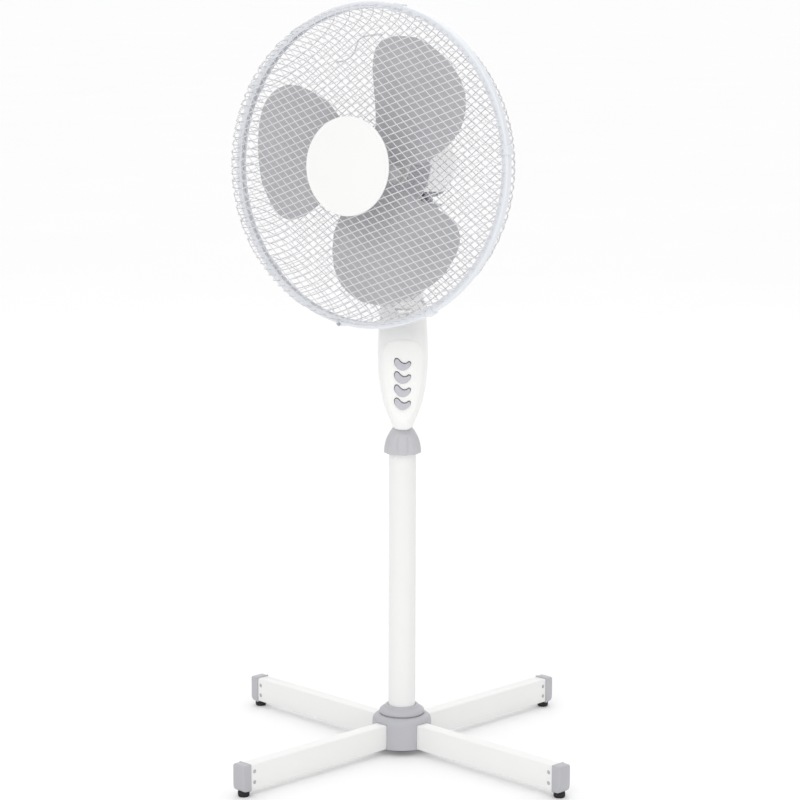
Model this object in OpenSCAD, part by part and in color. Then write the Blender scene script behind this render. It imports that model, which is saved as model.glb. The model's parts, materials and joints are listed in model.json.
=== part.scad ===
// Pedestal fan: cross base, telescopic column, control housing, oscillating head.
// Millimetres, +Z up. The column's axis meets the floor at the origin. The buttons face -Y.

/* [Base] */
// Tip to tip length of one cross arm with its caps
arm_span = 622; // [480:1:760]
// Width of the arm tube
arm_w = 20; // [16:1:26]
// Height of the arm tube
arm_h = 35.5; // [30:1:48]
// Wall of the arm tube
arm_wall = 1.5; // [1:0.1:2.5]
// Length of an end cap outside its tube
cap_len = 14; // [10:1:20]
// Height of the rubber feet
foot_h = 8; // [7:0.5:14]
// Diameter of the rubber feet
foot_d = 16; // [12:1:19]
// Diameter of the base hub
hub_d = 84; // [70:1:120]
// Diameter of the pole collar
collar_d = 64; // [54:1:68]

/* [Column] */
// Outer diameter of the outer pole
pole_d = 38; // [32:1:45]
// Wall of the outer pole
pole_wall = 1.2; // [0.8:0.1:2]
// Length of the outer pole
pole_len = 393.5; // [320:1:520]
// Outer diameter of the inner tube
tube_d = 22; // [18:1:26]
// Wall of the inner tube
tube_wall = 1.2; // [0.8:0.1:2]
// Height adjustment
height_travel = 200; // [100:1:230]
// Height of the lock nut
nut_h = 36; // [30:1:44]
// Lower diameter of the lock nut
nut_d = 52; // [48:1:62]

/* [Control housing] */
// Greatest width of the housing
box_w = 70; // [64:1:84]
// Height of the housing
box_h = 192; // [184:1:230]
// Height of the housing's widest place above its foot
belly_rise = 101; // [95:1:110]
// Depth of the housing in front of the column's axis
box_front = 34; // [30:1:40]
// Depth of the housing behind the column's axis
box_back = 30; // [26:1:38]
// Wall of the plastic shells
shell_wall = 2; // [1.6:0.1:3]
// Distance between two buttons
button_pitch = 18.5; // [17:0.5:21]
// Travel of a button
button_travel = 3.5; // [2:0.5:4]

/* [Head] */
// Height of the fan's axis above the tilt bolt
axis_rise = 186.5; // [175:1:220]
// Distance of the guard's rim in front of the swivel axis
rim_reach = 84; // [80:1:100]
// Outer diameter of the guard
guard_d = 441; // [380:1:500]
// Depth of the front grille
front_depth = 50; // [44:1:60]
// Depth of the rear grille
rear_depth = 62; // [56:1:62]
// Radius that the blade tips sweep
blade_r = 186; // [150:1:186]
// Diameter of the motor cover
motor_d = 98; // [94:1:108]
// Diameter of the motor shaft
shaft_d = 8; // [6:0.5:10]
// Diameter of the centre badge
badge_d = 134; // [110:1:150]
// Turn of the head at rest, to the left of straight ahead
yaw_rest = 33; // [0:1:40]
// Upward tilt of the neck at rest
tilt_rest = 4; // [0:1:10]

/* [Hidden] */
$fn = 96;

// Clearances
slip = 0.2;        // radial play of a fixed part in its seat
run_fit = 0.05;    // radial play of a shaft in its bearing
free_gap = 0.4;    // gap between parts that move past each other
eps = 0.01;

// Heights of the base
arm_z = foot_h + 1;
arm_top = arm_z + arm_h;
arm_mid = arm_z + arm_h / 2;
plug_flange_h = 3;
pole_z = arm_top + plug_flange_h;
pole_top = pole_z + pole_len;
pole_id = pole_d - 2 * pole_wall;
hub_wall = 2.5;
hub_step_z = pole_z + 2;
hub_top_z = hub_step_z + 4;
collar_h = 13;
bolt_d = 8;
cap_edge = 1;
foot_s = arm_span / 2 - 10;
cap_in = arm_span / 2 - cap_len;
plug_len = 26;
rivet_s = cap_in - 7;
rivet_rise = 7.5;
rivet_d = 3;
stud_d = 6;

// Lock nut and sleeve
nut_z = pole_top - 9.6;
nut_top_z = nut_z + nut_h;
nut_top_d = tube_d + 4.4;
sleeve_flange_z = pole_top;
sleeve_thread_d = pole_d - 4;
sleeve_thread_z = sleeve_flange_z + 2.5;
sleeve_top_z = nut_top_z - 4.5;

// Control housing
box_z = nut_top_z + free_gap;
box_top_z = box_z + box_h;
belly_z = box_z + belly_rise;
box_half_top = box_w / 2 - 5;
box_arc = 48;
tube_top_z = box_z + 24;
tube_grip = 105;
tube_bottom_z = pole_top - height_travel - tube_grip;
tube_bolt_z = box_z + 14;
socket_r = tube_d / 2 + 2.6;
gland_z = belly_z - 30;
panel_top_z = belly_z + 23;
panel_t = 1.6;
button_mid_z = belly_z - 32.3;
button_w = 22.8;
button_depth = 11;
button_face = box_front + 3.2;
switch_front = 17;
switch_z = button_mid_z;
switch_h = 4 * button_pitch + 6;
capacitor_z = belly_z + 32;

// Tilt and neck
tilt_z = box_top_z - 14;
cheek_in = 12;
cheek_out = 20;
tongue_w = 2 * cheek_in - 2 * free_gap;
tilt_bolt_d = 8;
neck_top = -61;
swivel_d = 12;
swivel_bush_d = 18;
neck_boss_d = 32;
link_arm = 22;

// Motor, measured from the swivel axis: y runs backwards, heights from the fan's axis
motor_r = motor_d / 2;
motor_front_y = -rim_reach + rear_depth;
housing_joint_y = 0;
cover_back_y = 78;
bell_r = motor_r - 5;
bell_back_y = 24.5;
motor_wall = 3;
stack_y = -8;
stack_len = 22;
rotor_r = 22;
air_gap = 0.4;
shaft_front_y = -rim_reach - 20;
shaft_back_y = 61;
bearing_d = 2 * shaft_d;
bearing_len = 9;
front_bearing_y = motor_front_y + motor_wall;
screw_angles = [30, 150, 210, 330];
boss_d = 44;
boss_len = 12;

// Gearbox and oscillation linkage
gear_x = 10;
gear_y = 46;
wheel_x = -12;
wheel_gap = abs(wheel_x);
worm_r = shaft_d / 2 + 0.8;
wheel_r = wheel_gap - worm_r - free_gap;
wheel_h = 8;
pinion_r = 3.2;
gear_r = gear_x - wheel_x - pinion_r - free_gap;
gear_z = -22;
gear_h = 6;
crank_r = 15;
crank_shaft_d = 8;
crank_disc_z = -56.5;
crank_disc_h = 3;
link_z = -59.6;
link_h = 2.6;
link_eye_r = 4.2;
crank_ratio = 2.1;
crank_angle = crank_ratio * yaw_rest;
pin_x = gear_x + crank_r * cos(crank_angle);
pin_y = gear_y + crank_r * sin(crank_angle);
neck_pin_x = link_arm * cos(yaw_rest);
neck_pin_y = link_arm * sin(yaw_rest);
crank_pin_d = 4;
case_x0 = -22;
case_x1 = 31;
case_y0 = 25;
case_y1 = 68;
case_z0 = -28;
case_z1 = 10;
case_wall = 2;
saddle_w = 16;
saddle_z0 = -52.5;
saddle_z1 = -46;
knob_d = 16;
knob_travel = 6;
rod_d = 4;

// Guard, measured in front of the rim's plane
rim_r = guard_d / 2 - 4.5;
rim_wire_d = 4;
rim_half = rim_wire_d / 2 + 0.2;
wire_w = 2;
wire_t = 2.4;
grille_ribs = 24;
front_hub_r = badge_d / 2 - 3;
rear_hub_r = 30;
plate_r = 58;
screw_angle = 258;
clip_angles = [77, 6, 150, 222, 297];
band_half = 6;
band_boss = 7.6;
band_screw_d = 3;
band_screw_x = 5;
lap_half = 4.6;
lap_gap = 0.6;

// Blade
blade_hub_d = 76;
blade_t = 2.4;
blade_camber_r = 786;
blade_pitch = 9;
blade_count = 3;
blade_first = 63.5;
blade_hub_h = 26;
blade_back_y = -rim_reach + 20;

// ---------- placing ----------

// Moves parts made about the swivel axis, with the fan's axis at z = 0, to the tilted neck
module on_neck() {
    translate([0, 0, tilt_z]) rotate([-tilt_rest, 0, 0]) translate([0, 0, axis_rise]) children();
}

// As on_neck, turned with the head
module on_head() {
    on_neck() rotate([0, 0, -yaw_rest]) children();
}

// A turned part whose axis is the fan's: z of the children runs forward from y_from
module on_axis(y_from = 0) {
    translate([0, y_from, 0]) rotate([90, 0, 0]) children();
}

// A point on the rim at an angle seen from the front, children's x pointing outwards
module at_rim(angle) {
    on_axis(-rim_reach) rotate([0, 0, angle]) translate([rim_r, 0, 0]) children();
}

module ring(r_out, r_in, h) {
    difference() {
        cylinder(r = r_out, h = h);
        translate([0, 0, -1]) cylinder(r = r_in, h = h + 2);
    }
}

module rounded_rect(w, h, r) {
    square([w - 2 * r, h], center = true);
    square([w, h - 2 * r], center = true);
    for (x = [-1, 1], y = [-1, 1]) translate([x * (w / 2 - r), y * (h / 2 - r)]) circle(r = r);
}

module block(x, y, z) {
    translate([x[0], y[0], z[0]]) cube([x[1] - x[0], y[1] - y[0], z[1] - z[0]]);
}

// ---------- base ----------

// One arm tube along X, with the holes for its cap's rivets
module arm_tube() {
    difference() {
        block([-cap_in, cap_in], [-arm_w / 2, arm_w / 2], [arm_z, arm_top]);
        block([-cap_in - 1, cap_in + 1], [arm_wall - arm_w / 2, arm_w / 2 - arm_wall],
              [arm_z + arm_wall, arm_top - arm_wall]);
        rivet_holes(rivet_d / 2 + slip / 2);
        cylinder(d = bolt_d + 2 * slip, h = 2 * arm_top);
    }
}

module rivet_holes(r) {
    for (s = [-1, 1], k = [-1, 1])
        translate([s * rivet_s, 0, arm_mid + k * rivet_rise])
            rotate([90, 0, 0]) cylinder(r = r, h = arm_w + 6, center = true, $fn = 32);
}

module halving(z0, z1) {
    block([-arm_w / 2 - slip, arm_w / 2 + slip], [-arm_w, arm_w], [z0, z1]);
}

module cross_arm_lower() {
    color("white") rotate([0, 0, 45]) difference() {
        arm_tube();
        halving(arm_mid, arm_top + 1);
    }
}

module cross_arm_upper() {
    color("white") rotate([0, 0, -45]) difference() {
        arm_tube();
        halving(arm_z - 1, arm_mid);
    }
}

module for_each_tip() {
    for (a = [45, 135, 225, 315]) rotate([0, 0, a]) children();
}

module arm_end_caps() {
    color("silver") for_each_tip() difference() {
        union() {
            translate([cap_in, 0, arm_mid]) rotate([90, 0, 90])
                linear_extrude(cap_len) rounded_rect(arm_w + 2 * cap_edge, arm_h + 2 * cap_edge, 3);
            block([cap_in - plug_len, cap_in + 1],
                  [arm_wall + slip - arm_w / 2, arm_w / 2 - arm_wall - slip],
                  [arm_z + arm_wall + slip, arm_top - arm_wall - slip]);
        }
        block([cap_in - plug_len - 1, cap_in - 14], [4 - arm_w / 2, arm_w / 2 - 4],
              [arm_z + 5, arm_top - 5]);
        rivet_holes(rivet_d / 2 + slip / 2);
        translate([foot_s, 0, 0]) cylinder(d = stud_d + slip, h = arm_z + 7);
    }
}

module foot_pads() {
    color("black") for_each_tip() translate([foot_s, 0, 0]) {
        cylinder(d1 = foot_d - 2, d2 = foot_d, h = 2);
        translate([0, 0, 2]) cylinder(d = foot_d, h = foot_h - 2);
        cylinder(d = stud_d, h = arm_z + 6);
    }
}

module arm_rivets() {
    head_t = 1;
    color("lightgray") for_each_tip() for (k = [-1, 1])
        translate([rivet_s, 0, arm_mid + k * rivet_rise]) rotate([90, 0, 0]) {
            cylinder(d = rivet_d, h = arm_w + 2 * eps, center = true, $fn = 32);
            for (s = [0, 1]) mirror([0, 0, s]) translate([0, 0, arm_w / 2])
                cylinder(d1 = 2 * rivet_d - 0.5, d2 = rivet_d, h = head_t, $fn = 32);
        }
}

module arm_slots(side, z_top) {
    for (a = [45, -45]) rotate([0, 0, a])
        block([-hub_d, hub_d], [-arm_w / 2 - side, arm_w / 2 + side], [0, z_top]);
}

module base_hub() {
    color("silver") difference() {
        union() {
            translate([0, 0, arm_z]) cylinder(d = hub_d, h = hub_step_z - arm_z);
            translate([0, 0, hub_step_z]) cylinder(d1 = hub_d, d2 = collar_d, h = hub_top_z - hub_step_z);
        }
        translate([0, 0, arm_z - 1]) cylinder(d = hub_d - 2 * hub_wall, h = pole_z + slip - arm_z + 1);
        arm_slots(slip, arm_top + slip);
        cylinder(d = pole_d + 2 * slip, h = 2 * hub_top_z);
    }
}

module pole_collar() {
    round_r = 5;
    neck_h = 1.5;
    color("silver") translate([0, 0, hub_top_z + slip / 2]) rotate_extrude() difference() {
        union() {
            square([collar_d / 2 - 2, collar_h]);
            translate([0, neck_h]) square([collar_d / 2, collar_h - neck_h - round_r]);
            square([collar_d / 2 - round_r, collar_h]);
            translate([collar_d / 2 - round_r, collar_h - round_r]) circle(r = round_r);
            translate([0, neck_h]) square([collar_d / 2 - 1, 1]);
        }
        translate([0, -1]) square([pole_d / 2 + slip, collar_h + 2]);
        translate([collar_d / 2 - 2, -1]) square([3, neck_h + 1]);
    }
}

module base_washer() {
    color("gray") translate([0, 0, arm_z - 2]) ring(14, bolt_d / 2 + slip, 2);
}

module base_bolt() {
    head_h = 5;
    color("gray") {
        translate([0, 0, arm_z - 2 - head_h]) cylinder(d = 15, h = head_h, $fn = 6);
        translate([0, 0, arm_z - 2 - eps]) cylinder(d = bolt_d, h = pole_z + 20 - arm_z + 2);
    }
}

module pole_plug() {
    color("gray") translate([0, 0, arm_top]) difference() {
        union() {
            cylinder(d = hub_d - 2 * hub_wall - 20, h = plug_flange_h);
            cylinder(d = pole_id - 2 * slip, h = plug_flange_h + 30);
        }
        translate([0, 0, -1]) cylinder(d = bolt_d + 2 * run_fit, h = plug_flange_h + 22);
    }
}

// ---------- column ----------

module outer_pole() {
    color("white") translate([0, 0, pole_z]) ring(pole_d / 2, pole_id / 2, pole_len);
}

module grip_sleeve() {
    tail = 46;
    color("dimgray") difference() {
        union() {
            translate([0, 0, pole_top - tail]) cylinder(d = pole_id - 2 * slip, h = tail + eps);
            translate([0, 0, sleeve_flange_z]) cylinder(d = pole_d, h = sleeve_thread_z - sleeve_flange_z);
            translate([0, 0, sleeve_thread_z - eps])
                cylinder(d = sleeve_thread_d, h = sleeve_top_z - 8 - sleeve_thread_z);
            translate([0, 0, sleeve_top_z - 8 - 2 * eps])
                cylinder(d1 = sleeve_thread_d, d2 = tube_d + 3, h = 8);
        }
        cylinder(d = tube_d + 2 * run_fit, h = 2 * pole_top);
        for (a = [0, 90]) rotate([0, 0, a])
            block([-0.8, 0.8], [-pole_d, pole_d], [sleeve_thread_z + 3, sleeve_top_z + 5]);
    }
}

// Points of the bell's outside, from its foot to its top
function bell_points(steps = 10) = [
    for (i = [0:steps])
        let (t = i / steps, flare = (1 - t * t) * (1 - 0.25 * t))
        [nut_top_d / 2 + (nut_d - nut_top_d) / 2 * flare, nut_h * t]
];

module lock_nut() {
    flutes = 8;
    flute_r = 5;
    lean = atan((nut_d - nut_top_d) / 2 / nut_h);
    color("darkgray") translate([0, 0, nut_z]) difference() {
        rotate_extrude() polygon(concat([[0, 0]], bell_points(), [[0, nut_h]]));
        translate([0, 0, -1])
            cylinder(r = pole_d / 2 + free_gap, h = sleeve_thread_z - nut_z + 1 + free_gap);
        cylinder(r = sleeve_thread_d / 2 + free_gap, h = sleeve_top_z - 8 - nut_z);
        translate([0, 0, sleeve_top_z - 8 - nut_z - eps])
            cylinder(r1 = sleeve_thread_d / 2 + free_gap, r2 = tube_d / 2 + 1.5 + free_gap, h = 8 + eps);
        cylinder(r = tube_d / 2 + free_gap, h = nut_h + 1);
        translate([0, 0, sleeve_top_z - nut_z - 2 * eps])
            cylinder(r = tube_d / 2 + 1.5 + free_gap, h = free_gap);
        for (i = [0:flutes - 1]) rotate([0, 0, (i + 0.5) * 360 / flutes])
            translate([nut_d / 2 + flute_r - 0.8, 0, -2]) rotate([0, -lean, 0])
                cylinder(r = flute_r, h = nut_h * 0.9, $fn = 48);
    }
}

module inner_tube() {
    color("gainsboro") difference() {
        translate([0, 0, tube_bottom_z])
            ring(tube_d / 2, tube_d / 2 - tube_wall, tube_top_z - tube_bottom_z);
        tube_bolt_hole(run_fit);
    }
}

module tube_bolt_hole(play) {
    translate([0, 0, tube_bolt_z]) rotate([-90, 0, 0])
        cylinder(d = 5 + 2 * play, h = 2 * box_back, center = true, $fn = 32);
}

module tube_bush() {
    color("black") translate([0, 0, tube_bottom_z - 6]) difference() {
        cylinder(d = pole_id - 2 * free_gap, h = 24);
        translate([0, 0, 6]) cylinder(d = tube_d + 2 * slip, h = 20);
        translate([0, 0, -1]) cylinder(d = tube_d - 8, h = 10);
    }
}

// ---------- control housing ----------

// Front view of the housing: a half ellipse below, a slow taper to a rounded top
function box_outline(inset, steps = 18) =
    let (a = box_w / 2 - inset, b = belly_z - box_z - inset, top = box_half_top - inset,
         r = 16 - inset)
    concat(
        [for (i = [0:steps]) let (t = 180 + 180 * i / steps) [a * cos(t), belly_z + b * sin(t)]],
        [for (i = [0:6]) let (t = 90 * i / 6)
            [top - r + r * cos(t), box_top_z - inset - r + r * sin(t)]],
        [for (i = [0:6]) let (t = 90 + 90 * i / 6)
            [r - top + r * cos(t), box_top_z - inset - r + r * sin(t)]]
    );

// Side view of the housing, y forward negative
function box_side(inset) = [
    [-18 + inset, box_z - 1],
    [-box_front + 6 + inset, box_z + 14],
    [-box_front + 1 + inset, box_z + 30],
    [-box_front + inset, belly_z - 40],
    [-box_front + inset, panel_top_z - 4],
    [-14 + inset, panel_top_z + 30],
    [-12 + inset, box_top_z + 1],
    [17 - inset, box_top_z + 1],
    [box_back - inset, belly_z + 20],
    [box_back - inset, belly_z - 40],
    [16 - inset, box_z - 1]
];

module box_form(inset) {
    back_arc = box_arc - 4;
    intersection() {
        rotate([90, 0, 0]) linear_extrude(2 * box_w, center = true) polygon(box_outline(inset));
        rotate([90, 0, 90]) linear_extrude(2 * box_w, center = true) polygon(box_side(inset));
        translate([0, box_arc - box_front, 0]) cylinder(r = box_arc - inset, h = 2 * box_top_z);
        translate([0, box_back - back_arc, 0]) cylinder(r = back_arc - inset, h = 2 * box_top_z);
    }
}

// The whole housing with the socket for the inner tube and the cheeks for the tilt bolt
module box_shell() {
    slot_z = tilt_z - 18;
    difference() {
        union() {
            difference() {
                box_form(0);
                difference() {
                    box_form(shell_wall);
                    for (s = [0, 1]) mirror([s, 0, 0])
                        block([cheek_in, cheek_out], [-box_front, box_back], [slot_z, box_top_z + 5]);
                }
            }
            translate([0, 0, box_z]) cylinder(r = socket_r, h = tube_top_z + 1 - box_z);
        }
        cylinder(r = tube_d / 2 + slip, h = tube_top_z + slip);
        tube_bolt_hole(slip);
        block([-cheek_in, cheek_in], [-box_w, box_w], [slot_z, box_top_z + 5]);
        translate([0, 0, tilt_z]) rotate([0, 90, 0])
            cylinder(d = tilt_bolt_d + 2 * run_fit, h = 2 * box_w, center = true);
        for (s = [0, 1]) mirror([s, 0, 0]) translate([cheek_out, 0, tilt_z]) rotate([0, 90, 0])
            cylinder(d = 18, h = box_w);
    }
}

module screw_posts(y0, y1, r) {
    for (p = screw_places()) translate([p[0], 0, p[1]]) rotate([90, 0, 0])
        translate([0, 0, -y1]) cylinder(r = r, h = y1 - y0, $fn = 32);
}

function screw_places() = [
    [-box_w / 2 + 10, belly_z + 10], [box_w / 2 - 10, belly_z + 10],
    [-box_w / 2 + 15, belly_z - 52], [box_w / 2 - 15, belly_z - 52]
];

module control_front_cover() {
    color("white") difference() {
        union() {
            intersection() {
                box_shell();
                block([-box_w, box_w], [-box_w, -slip / 2], [0, 2 * box_top_z]);
            }
            intersection() {
                screw_posts(-box_front, -slip / 2, 4);
                box_form(shell_wall / 2);
            }
        }
        screw_posts(-16, 1, 1.5);
        panel_recess(slip);
        for (i = [0:3]) button_hole(i);
    }
}

module control_rear_cover() {
    color("white") difference() {
        union() {
            intersection() {
                box_shell();
                block([-box_w, box_w], [slip / 2, box_w], [0, 2 * box_top_z]);
            }
            intersection() {
                screw_posts(slip / 2, box_back, 4);
                box_form(shell_wall / 2);
            }
        }
        screw_posts(-1, box_back + 1, 1.5 + slip);
        screw_posts(12, box_back + 1, 3);
        translate([0, box_back - 8, gland_z]) rotate([-90, 0, 0]) cylinder(d = 9 + 2 * slip, h = 30);
    }
}

// Front view of the raised panel
module panel_outline(grow) {
    rotate([90, 0, 0]) linear_extrude(80) intersection() {
        polygon(box_outline(7.5 - grow));
        translate([-box_w, box_z - 20]) square([2 * box_w, panel_top_z + grow - box_z + 20]);
    }
}

module panel_skin(out, in) {
    difference() {
        intersection() {
            translate([0, box_arc - box_front, 0]) cylinder(r = box_arc + out, h = 2 * box_top_z);
            rotate([90, 0, 90]) linear_extrude(2 * box_w, center = true) polygon(box_side(-out));
        }
        intersection() {
            translate([0, box_arc - box_front, 0]) cylinder(r = box_arc - in, h = 2 * box_top_z);
            rotate([90, 0, 90]) linear_extrude(2 * box_w, center = true) polygon(box_side(in));
        }
    }
}

module panel_recess(play) {
    intersection() {
        panel_outline(play);
        panel_skin(5, panel_t / 2 + play / 2);
    }
}

module control_panel() {
    color("whitesmoke") difference() {
        intersection() {
            panel_outline(0);
            panel_skin(panel_t / 2, panel_t / 2);
            block([-box_w, box_w], [-box_w, -10], [box_z + 12, box_top_z]);
        }
        for (i = [0:3]) button_hole(i);
    }
}

// Crescent outline of a button, its horns up
module crescent(grow) {
    outer_r = button_w / 2;
    intersection() {
        difference() {
            circle(r = outer_r + grow);
            translate([0, 7]) circle(r = outer_r - 2.4 - grow);
        }
        translate([-outer_r - 2, -outer_r - 2]) square([2 * outer_r + 4, outer_r + 5.5 + grow]);
    }
}

module at_button(i, y) {
    translate([0, y, button_mid_z + (1.5 - i) * button_pitch]) rotate([90, 0, 0]) children();
}

module button_hole(i) {
    at_button(i, -12) linear_extrude(60) crescent(free_gap);
}

// A crescent cap, the flange that keeps it in and the stem that presses the switch
module button(i) {
    flange_t = 2;
    flange_y = button_depth - button_face;
    color("darkgray") {
        at_button(i, flange_y) linear_extrude(button_depth) crescent(0);
        at_button(i, flange_y + flange_t) linear_extrude(flange_t + eps)
            translate([-9, -button_w / 2]) square([18, 8]);
        at_button(i, -switch_front - button_travel - run_fit)
            translate([0, 4 - button_w / 2, 0])
                cylinder(d = 4, h = -flange_y - switch_front - button_travel, $fn = 32);
    }
}

module button_off() { button(0); }
module button_low() { button(1); }
module button_medium() { button(2); }
module button_high() { button(3); }

module switch_body() {
    color("black") block([-14, 14], [-switch_front, 4 - switch_front],
                         [switch_z - switch_h / 2, switch_z + switch_h / 2]);
}

module run_capacitor() {
    color("dimgray") block([-16, 16], [-6, 10], [capacitor_z - 14, capacitor_z + 14]);
}

module control_screws() {
    color("gray") for (p = screw_places()) translate([p[0], 12, p[1]]) rotate([90, 0, 0]) {
        translate([0, 0, -2.5]) cylinder(d = 5.5, h = 2.5, $fn = 32);
        translate([0, 0, -eps]) cylinder(d = 3, h = 24, $fn = 32);
    }
}

module tube_bolt() {
    color("gray") translate([0, 0, tube_bolt_z]) rotate([-90, 0, 0]) {
        cylinder(d = 5, h = 30, center = true, $fn = 32);
    }
}

module cord_gland() {
    color("lightgray") translate([0, box_back + slip / 2, gland_z]) rotate([-90, 0, 0]) difference() {
        union() {
            translate([0, 0, -5]) cylinder(d = 9, h = 17);
            cylinder(d = 13, h = 2);
        }
        translate([0, 0, -6]) cylinder(d = 6, h = 20);
    }
}

module tilt_bolt() {
    color("gray") translate([0, 0, tilt_z]) rotate([0, 90, 0]) {
        translate([0, 0, -cheek_out - 5]) cylinder(d = 13, h = 5, $fn = 6);
        translate([0, 0, -cheek_out - eps]) cylinder(d = tilt_bolt_d, h = 2 * cheek_out + 7);
    }
}

module tilt_nut() {
    color("gray") translate([cheek_out, 0, tilt_z]) rotate([0, 90, 0]) difference() {
        cylinder(d = 13, h = 6, $fn = 6);
        translate([0, 0, -1]) cylinder(d = tilt_bolt_d + 2 * run_fit, h = 8);
    }
}

// ---------- neck ----------

module neck_bracket() {
    tongue_top = -axis_rise + 40;
    color("white") on_neck() difference() {
        union() {
            translate([0, 0, -axis_rise]) rotate([0, 90, 0]) cylinder(r = 14, h = tongue_w, center = true);
            block([-tongue_w / 2, tongue_w / 2], [-14, 14], [-axis_rise, tongue_top]);
            translate([0, 0, tongue_top - 14])
                cylinder(d1 = 30, d2 = neck_boss_d, h = neck_top - tongue_top + 14);
            block([0, link_arm], [-6, 6], [neck_top - 14, neck_top]);
            translate([link_arm, 0, neck_top - 14]) cylinder(r = 6, h = 14);
            translate([link_arm, 0, neck_top - eps]) cylinder(r = 4, h = link_z - free_gap - neck_top);
        }
        translate([0, 0, -axis_rise]) rotate([0, 90, 0])
            cylinder(d = tilt_bolt_d + 2 * run_fit, h = 40, center = true);
        translate([0, 0, neck_top - 36]) cylinder(d = swivel_bush_d + 2 * run_fit, h = 40);
        translate([0, 0, neck_top - 46]) cylinder(d = swivel_d + 10, h = 11);
    }
}

module swivel_bush() {
    color("ivory") on_neck() translate([0, 0, neck_top - 30])
        ring(swivel_bush_d / 2, swivel_d / 2 + run_fit, 30);
}

// ---------- motor and gearbox ----------

module motor_front_housing() {
    color("white") on_head() difference() {
        union() {
            on_axis(housing_joint_y) cylinder(r = motor_r, h = housing_joint_y - motor_front_y - 6);
            on_axis(motor_front_y + 6 + eps) cylinder(r1 = motor_r, r2 = motor_r - 6, h = 6);
            on_axis(motor_front_y + eps) cylinder(d = boss_d, h = boss_len);
        }
        on_axis(housing_joint_y + 1) cylinder(r = bell_r + slip, h = housing_joint_y + 1 - stack_y + 8);
        on_axis(housing_joint_y + 1) cylinder(r = bell_r - 6, h = housing_joint_y + 1 - front_bearing_y);
        on_axis(front_bearing_y + 1) cylinder(d = bearing_d + 2 * slip, h = bearing_len + 1);
        on_axis(front_bearing_y) cylinder(d = shaft_d + 2 * free_gap, h = 60);
        housing_screw_holes(1.5);
    }
}

module housing_screw_holes(r) {
    for (a = screw_angles) on_axis(60) rotate([0, 0, a])
        translate([bell_r - 3, 0, 0]) cylinder(r = r, h = 76, $fn = 32);
}

module motor_rear_bell() {
    color("gray") on_head() difference() {
        on_axis(bell_back_y) cylinder(r = bell_r, h = bell_back_y - 8);
        on_axis(bell_back_y - motor_wall) cylinder(r = bell_r - 5.5, h = bell_back_y);
        on_axis(bell_back_y + 1) cylinder(d = bearing_d + 2 * slip, h = 40);
        housing_screw_holes(1.5 + slip);
    }
}

module motor_cover() {
    dome = 14;
    back_r = motor_r - dome;
    color("white") on_head() difference() {
        union() {
            on_axis(cover_back_y - dome)
                cylinder(r = motor_r, h = cover_back_y - dome - housing_joint_y - free_gap);
            on_axis(cover_back_y) cylinder(r1 = back_r, r2 = motor_r, h = dome);
        }
        on_axis(cover_back_y - dome) cylinder(r = motor_r - shell_wall, h = cover_back_y);
        on_axis(cover_back_y - shell_wall)
            cylinder(r1 = back_r - shell_wall, r2 = motor_r - shell_wall, h = dome - shell_wall + eps);
        block([-34, 34], [-5, cover_back_y - dome], [-2 * motor_r, -motor_r + 14]);
        translate([wheel_x, gear_y, 0]) cylinder(d = rod_d + 5, h = motor_d);
        for (k = [-3:3]) translate([k * 8, 0, 0])
            block([-1.5, 1.5], [cover_back_y - 6, cover_back_y + 6], [-18, 18]);
    }
}

module stator_core() {
    slots = 16;
    color("slategray") on_head() on_axis(stack_y + stack_len) difference() {
        cylinder(r = bell_r - 6.5, h = stack_len);
        translate([0, 0, -1]) cylinder(r = rotor_r + air_gap, h = stack_len + 2);
        for (i = [0:slots - 1]) rotate([0, 0, i * 360 / slots])
            translate([rotor_r + 8, 0, -1]) cylinder(r = 2.6, h = stack_len + 2, $fn = 24);
    }
}

module stator_windings() {
    slots = 16;
    end_h = 3.2;
    color("peru") on_head() {
        for (y = [stack_y, stack_y + stack_len + end_h]) on_axis(y)
            ring(rotor_r + 11.5, rotor_r + 4.5, end_h);
        on_axis(stack_y + stack_len + eps) for (i = [0:slots - 1]) rotate([0, 0, i * 360 / slots])
            translate([rotor_r + 8, 0, -eps]) cylinder(r = 2.4, h = stack_len + 4 * eps, $fn = 24);
    }
}

module bearing_bush(y_back) {
    color("goldenrod") on_head() on_axis(y_back) ring(bearing_d / 2, shaft_d / 2 + run_fit, bearing_len);
}

module front_bearing() { bearing_bush(front_bearing_y + bearing_len); }
module rear_bearing() { bearing_bush(bell_back_y); }

module gearbox_case() {
    rib_w = 8;
    color("darkgray") on_head() difference() {
        union() {
            difference() {
                block([case_x0, case_x1], [case_y0, case_y1], [case_z0, case_z1]);
                block([case_x0 + case_wall, case_x1 - case_wall],
                      [case_y0 + case_wall, case_y1 - case_wall], [case_z0 + case_wall, case_z1 + 1]);
            }
            translate([gear_x, gear_y, saddle_z0])
                cylinder(d = crank_shaft_d + 8, h = case_z0 - saddle_z0 + 1);
            translate([wheel_x, gear_y, case_z0]) cylinder(r = 4.5, h = 6);
            block([-rib_w / 2, rib_w / 2], [case_y0 + 3, gear_y + 8], [saddle_z1 - 1, case_z0 + 1]);
            block([-saddle_w / 2, saddle_w / 2], [1, gear_y + 8], [saddle_z0, saddle_z1]);
            translate([0, 0, neck_top + 1]) cylinder(d = saddle_w, h = -motor_r - 0.6 - neck_top - 1);
            translate([0, 0, neck_top - 34]) cylinder(d = swivel_d, h = 36);
        }
        translate([gear_x, gear_y, saddle_z0 - 1]) cylinder(d = crank_shaft_d + 2 * run_fit, h = 30);
        translate([wheel_x, gear_y, case_z0 + case_wall]) cylinder(d = 4 + 2 * run_fit, h = 10);
        on_axis(case_y0 + case_wall + 1) cylinder(r = worm_r + free_gap, h = 10);
        translate([0, 0, neck_top - 32.2]) ring(swivel_d, swivel_d / 2 - 1, 1.2);
    }
}

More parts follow.
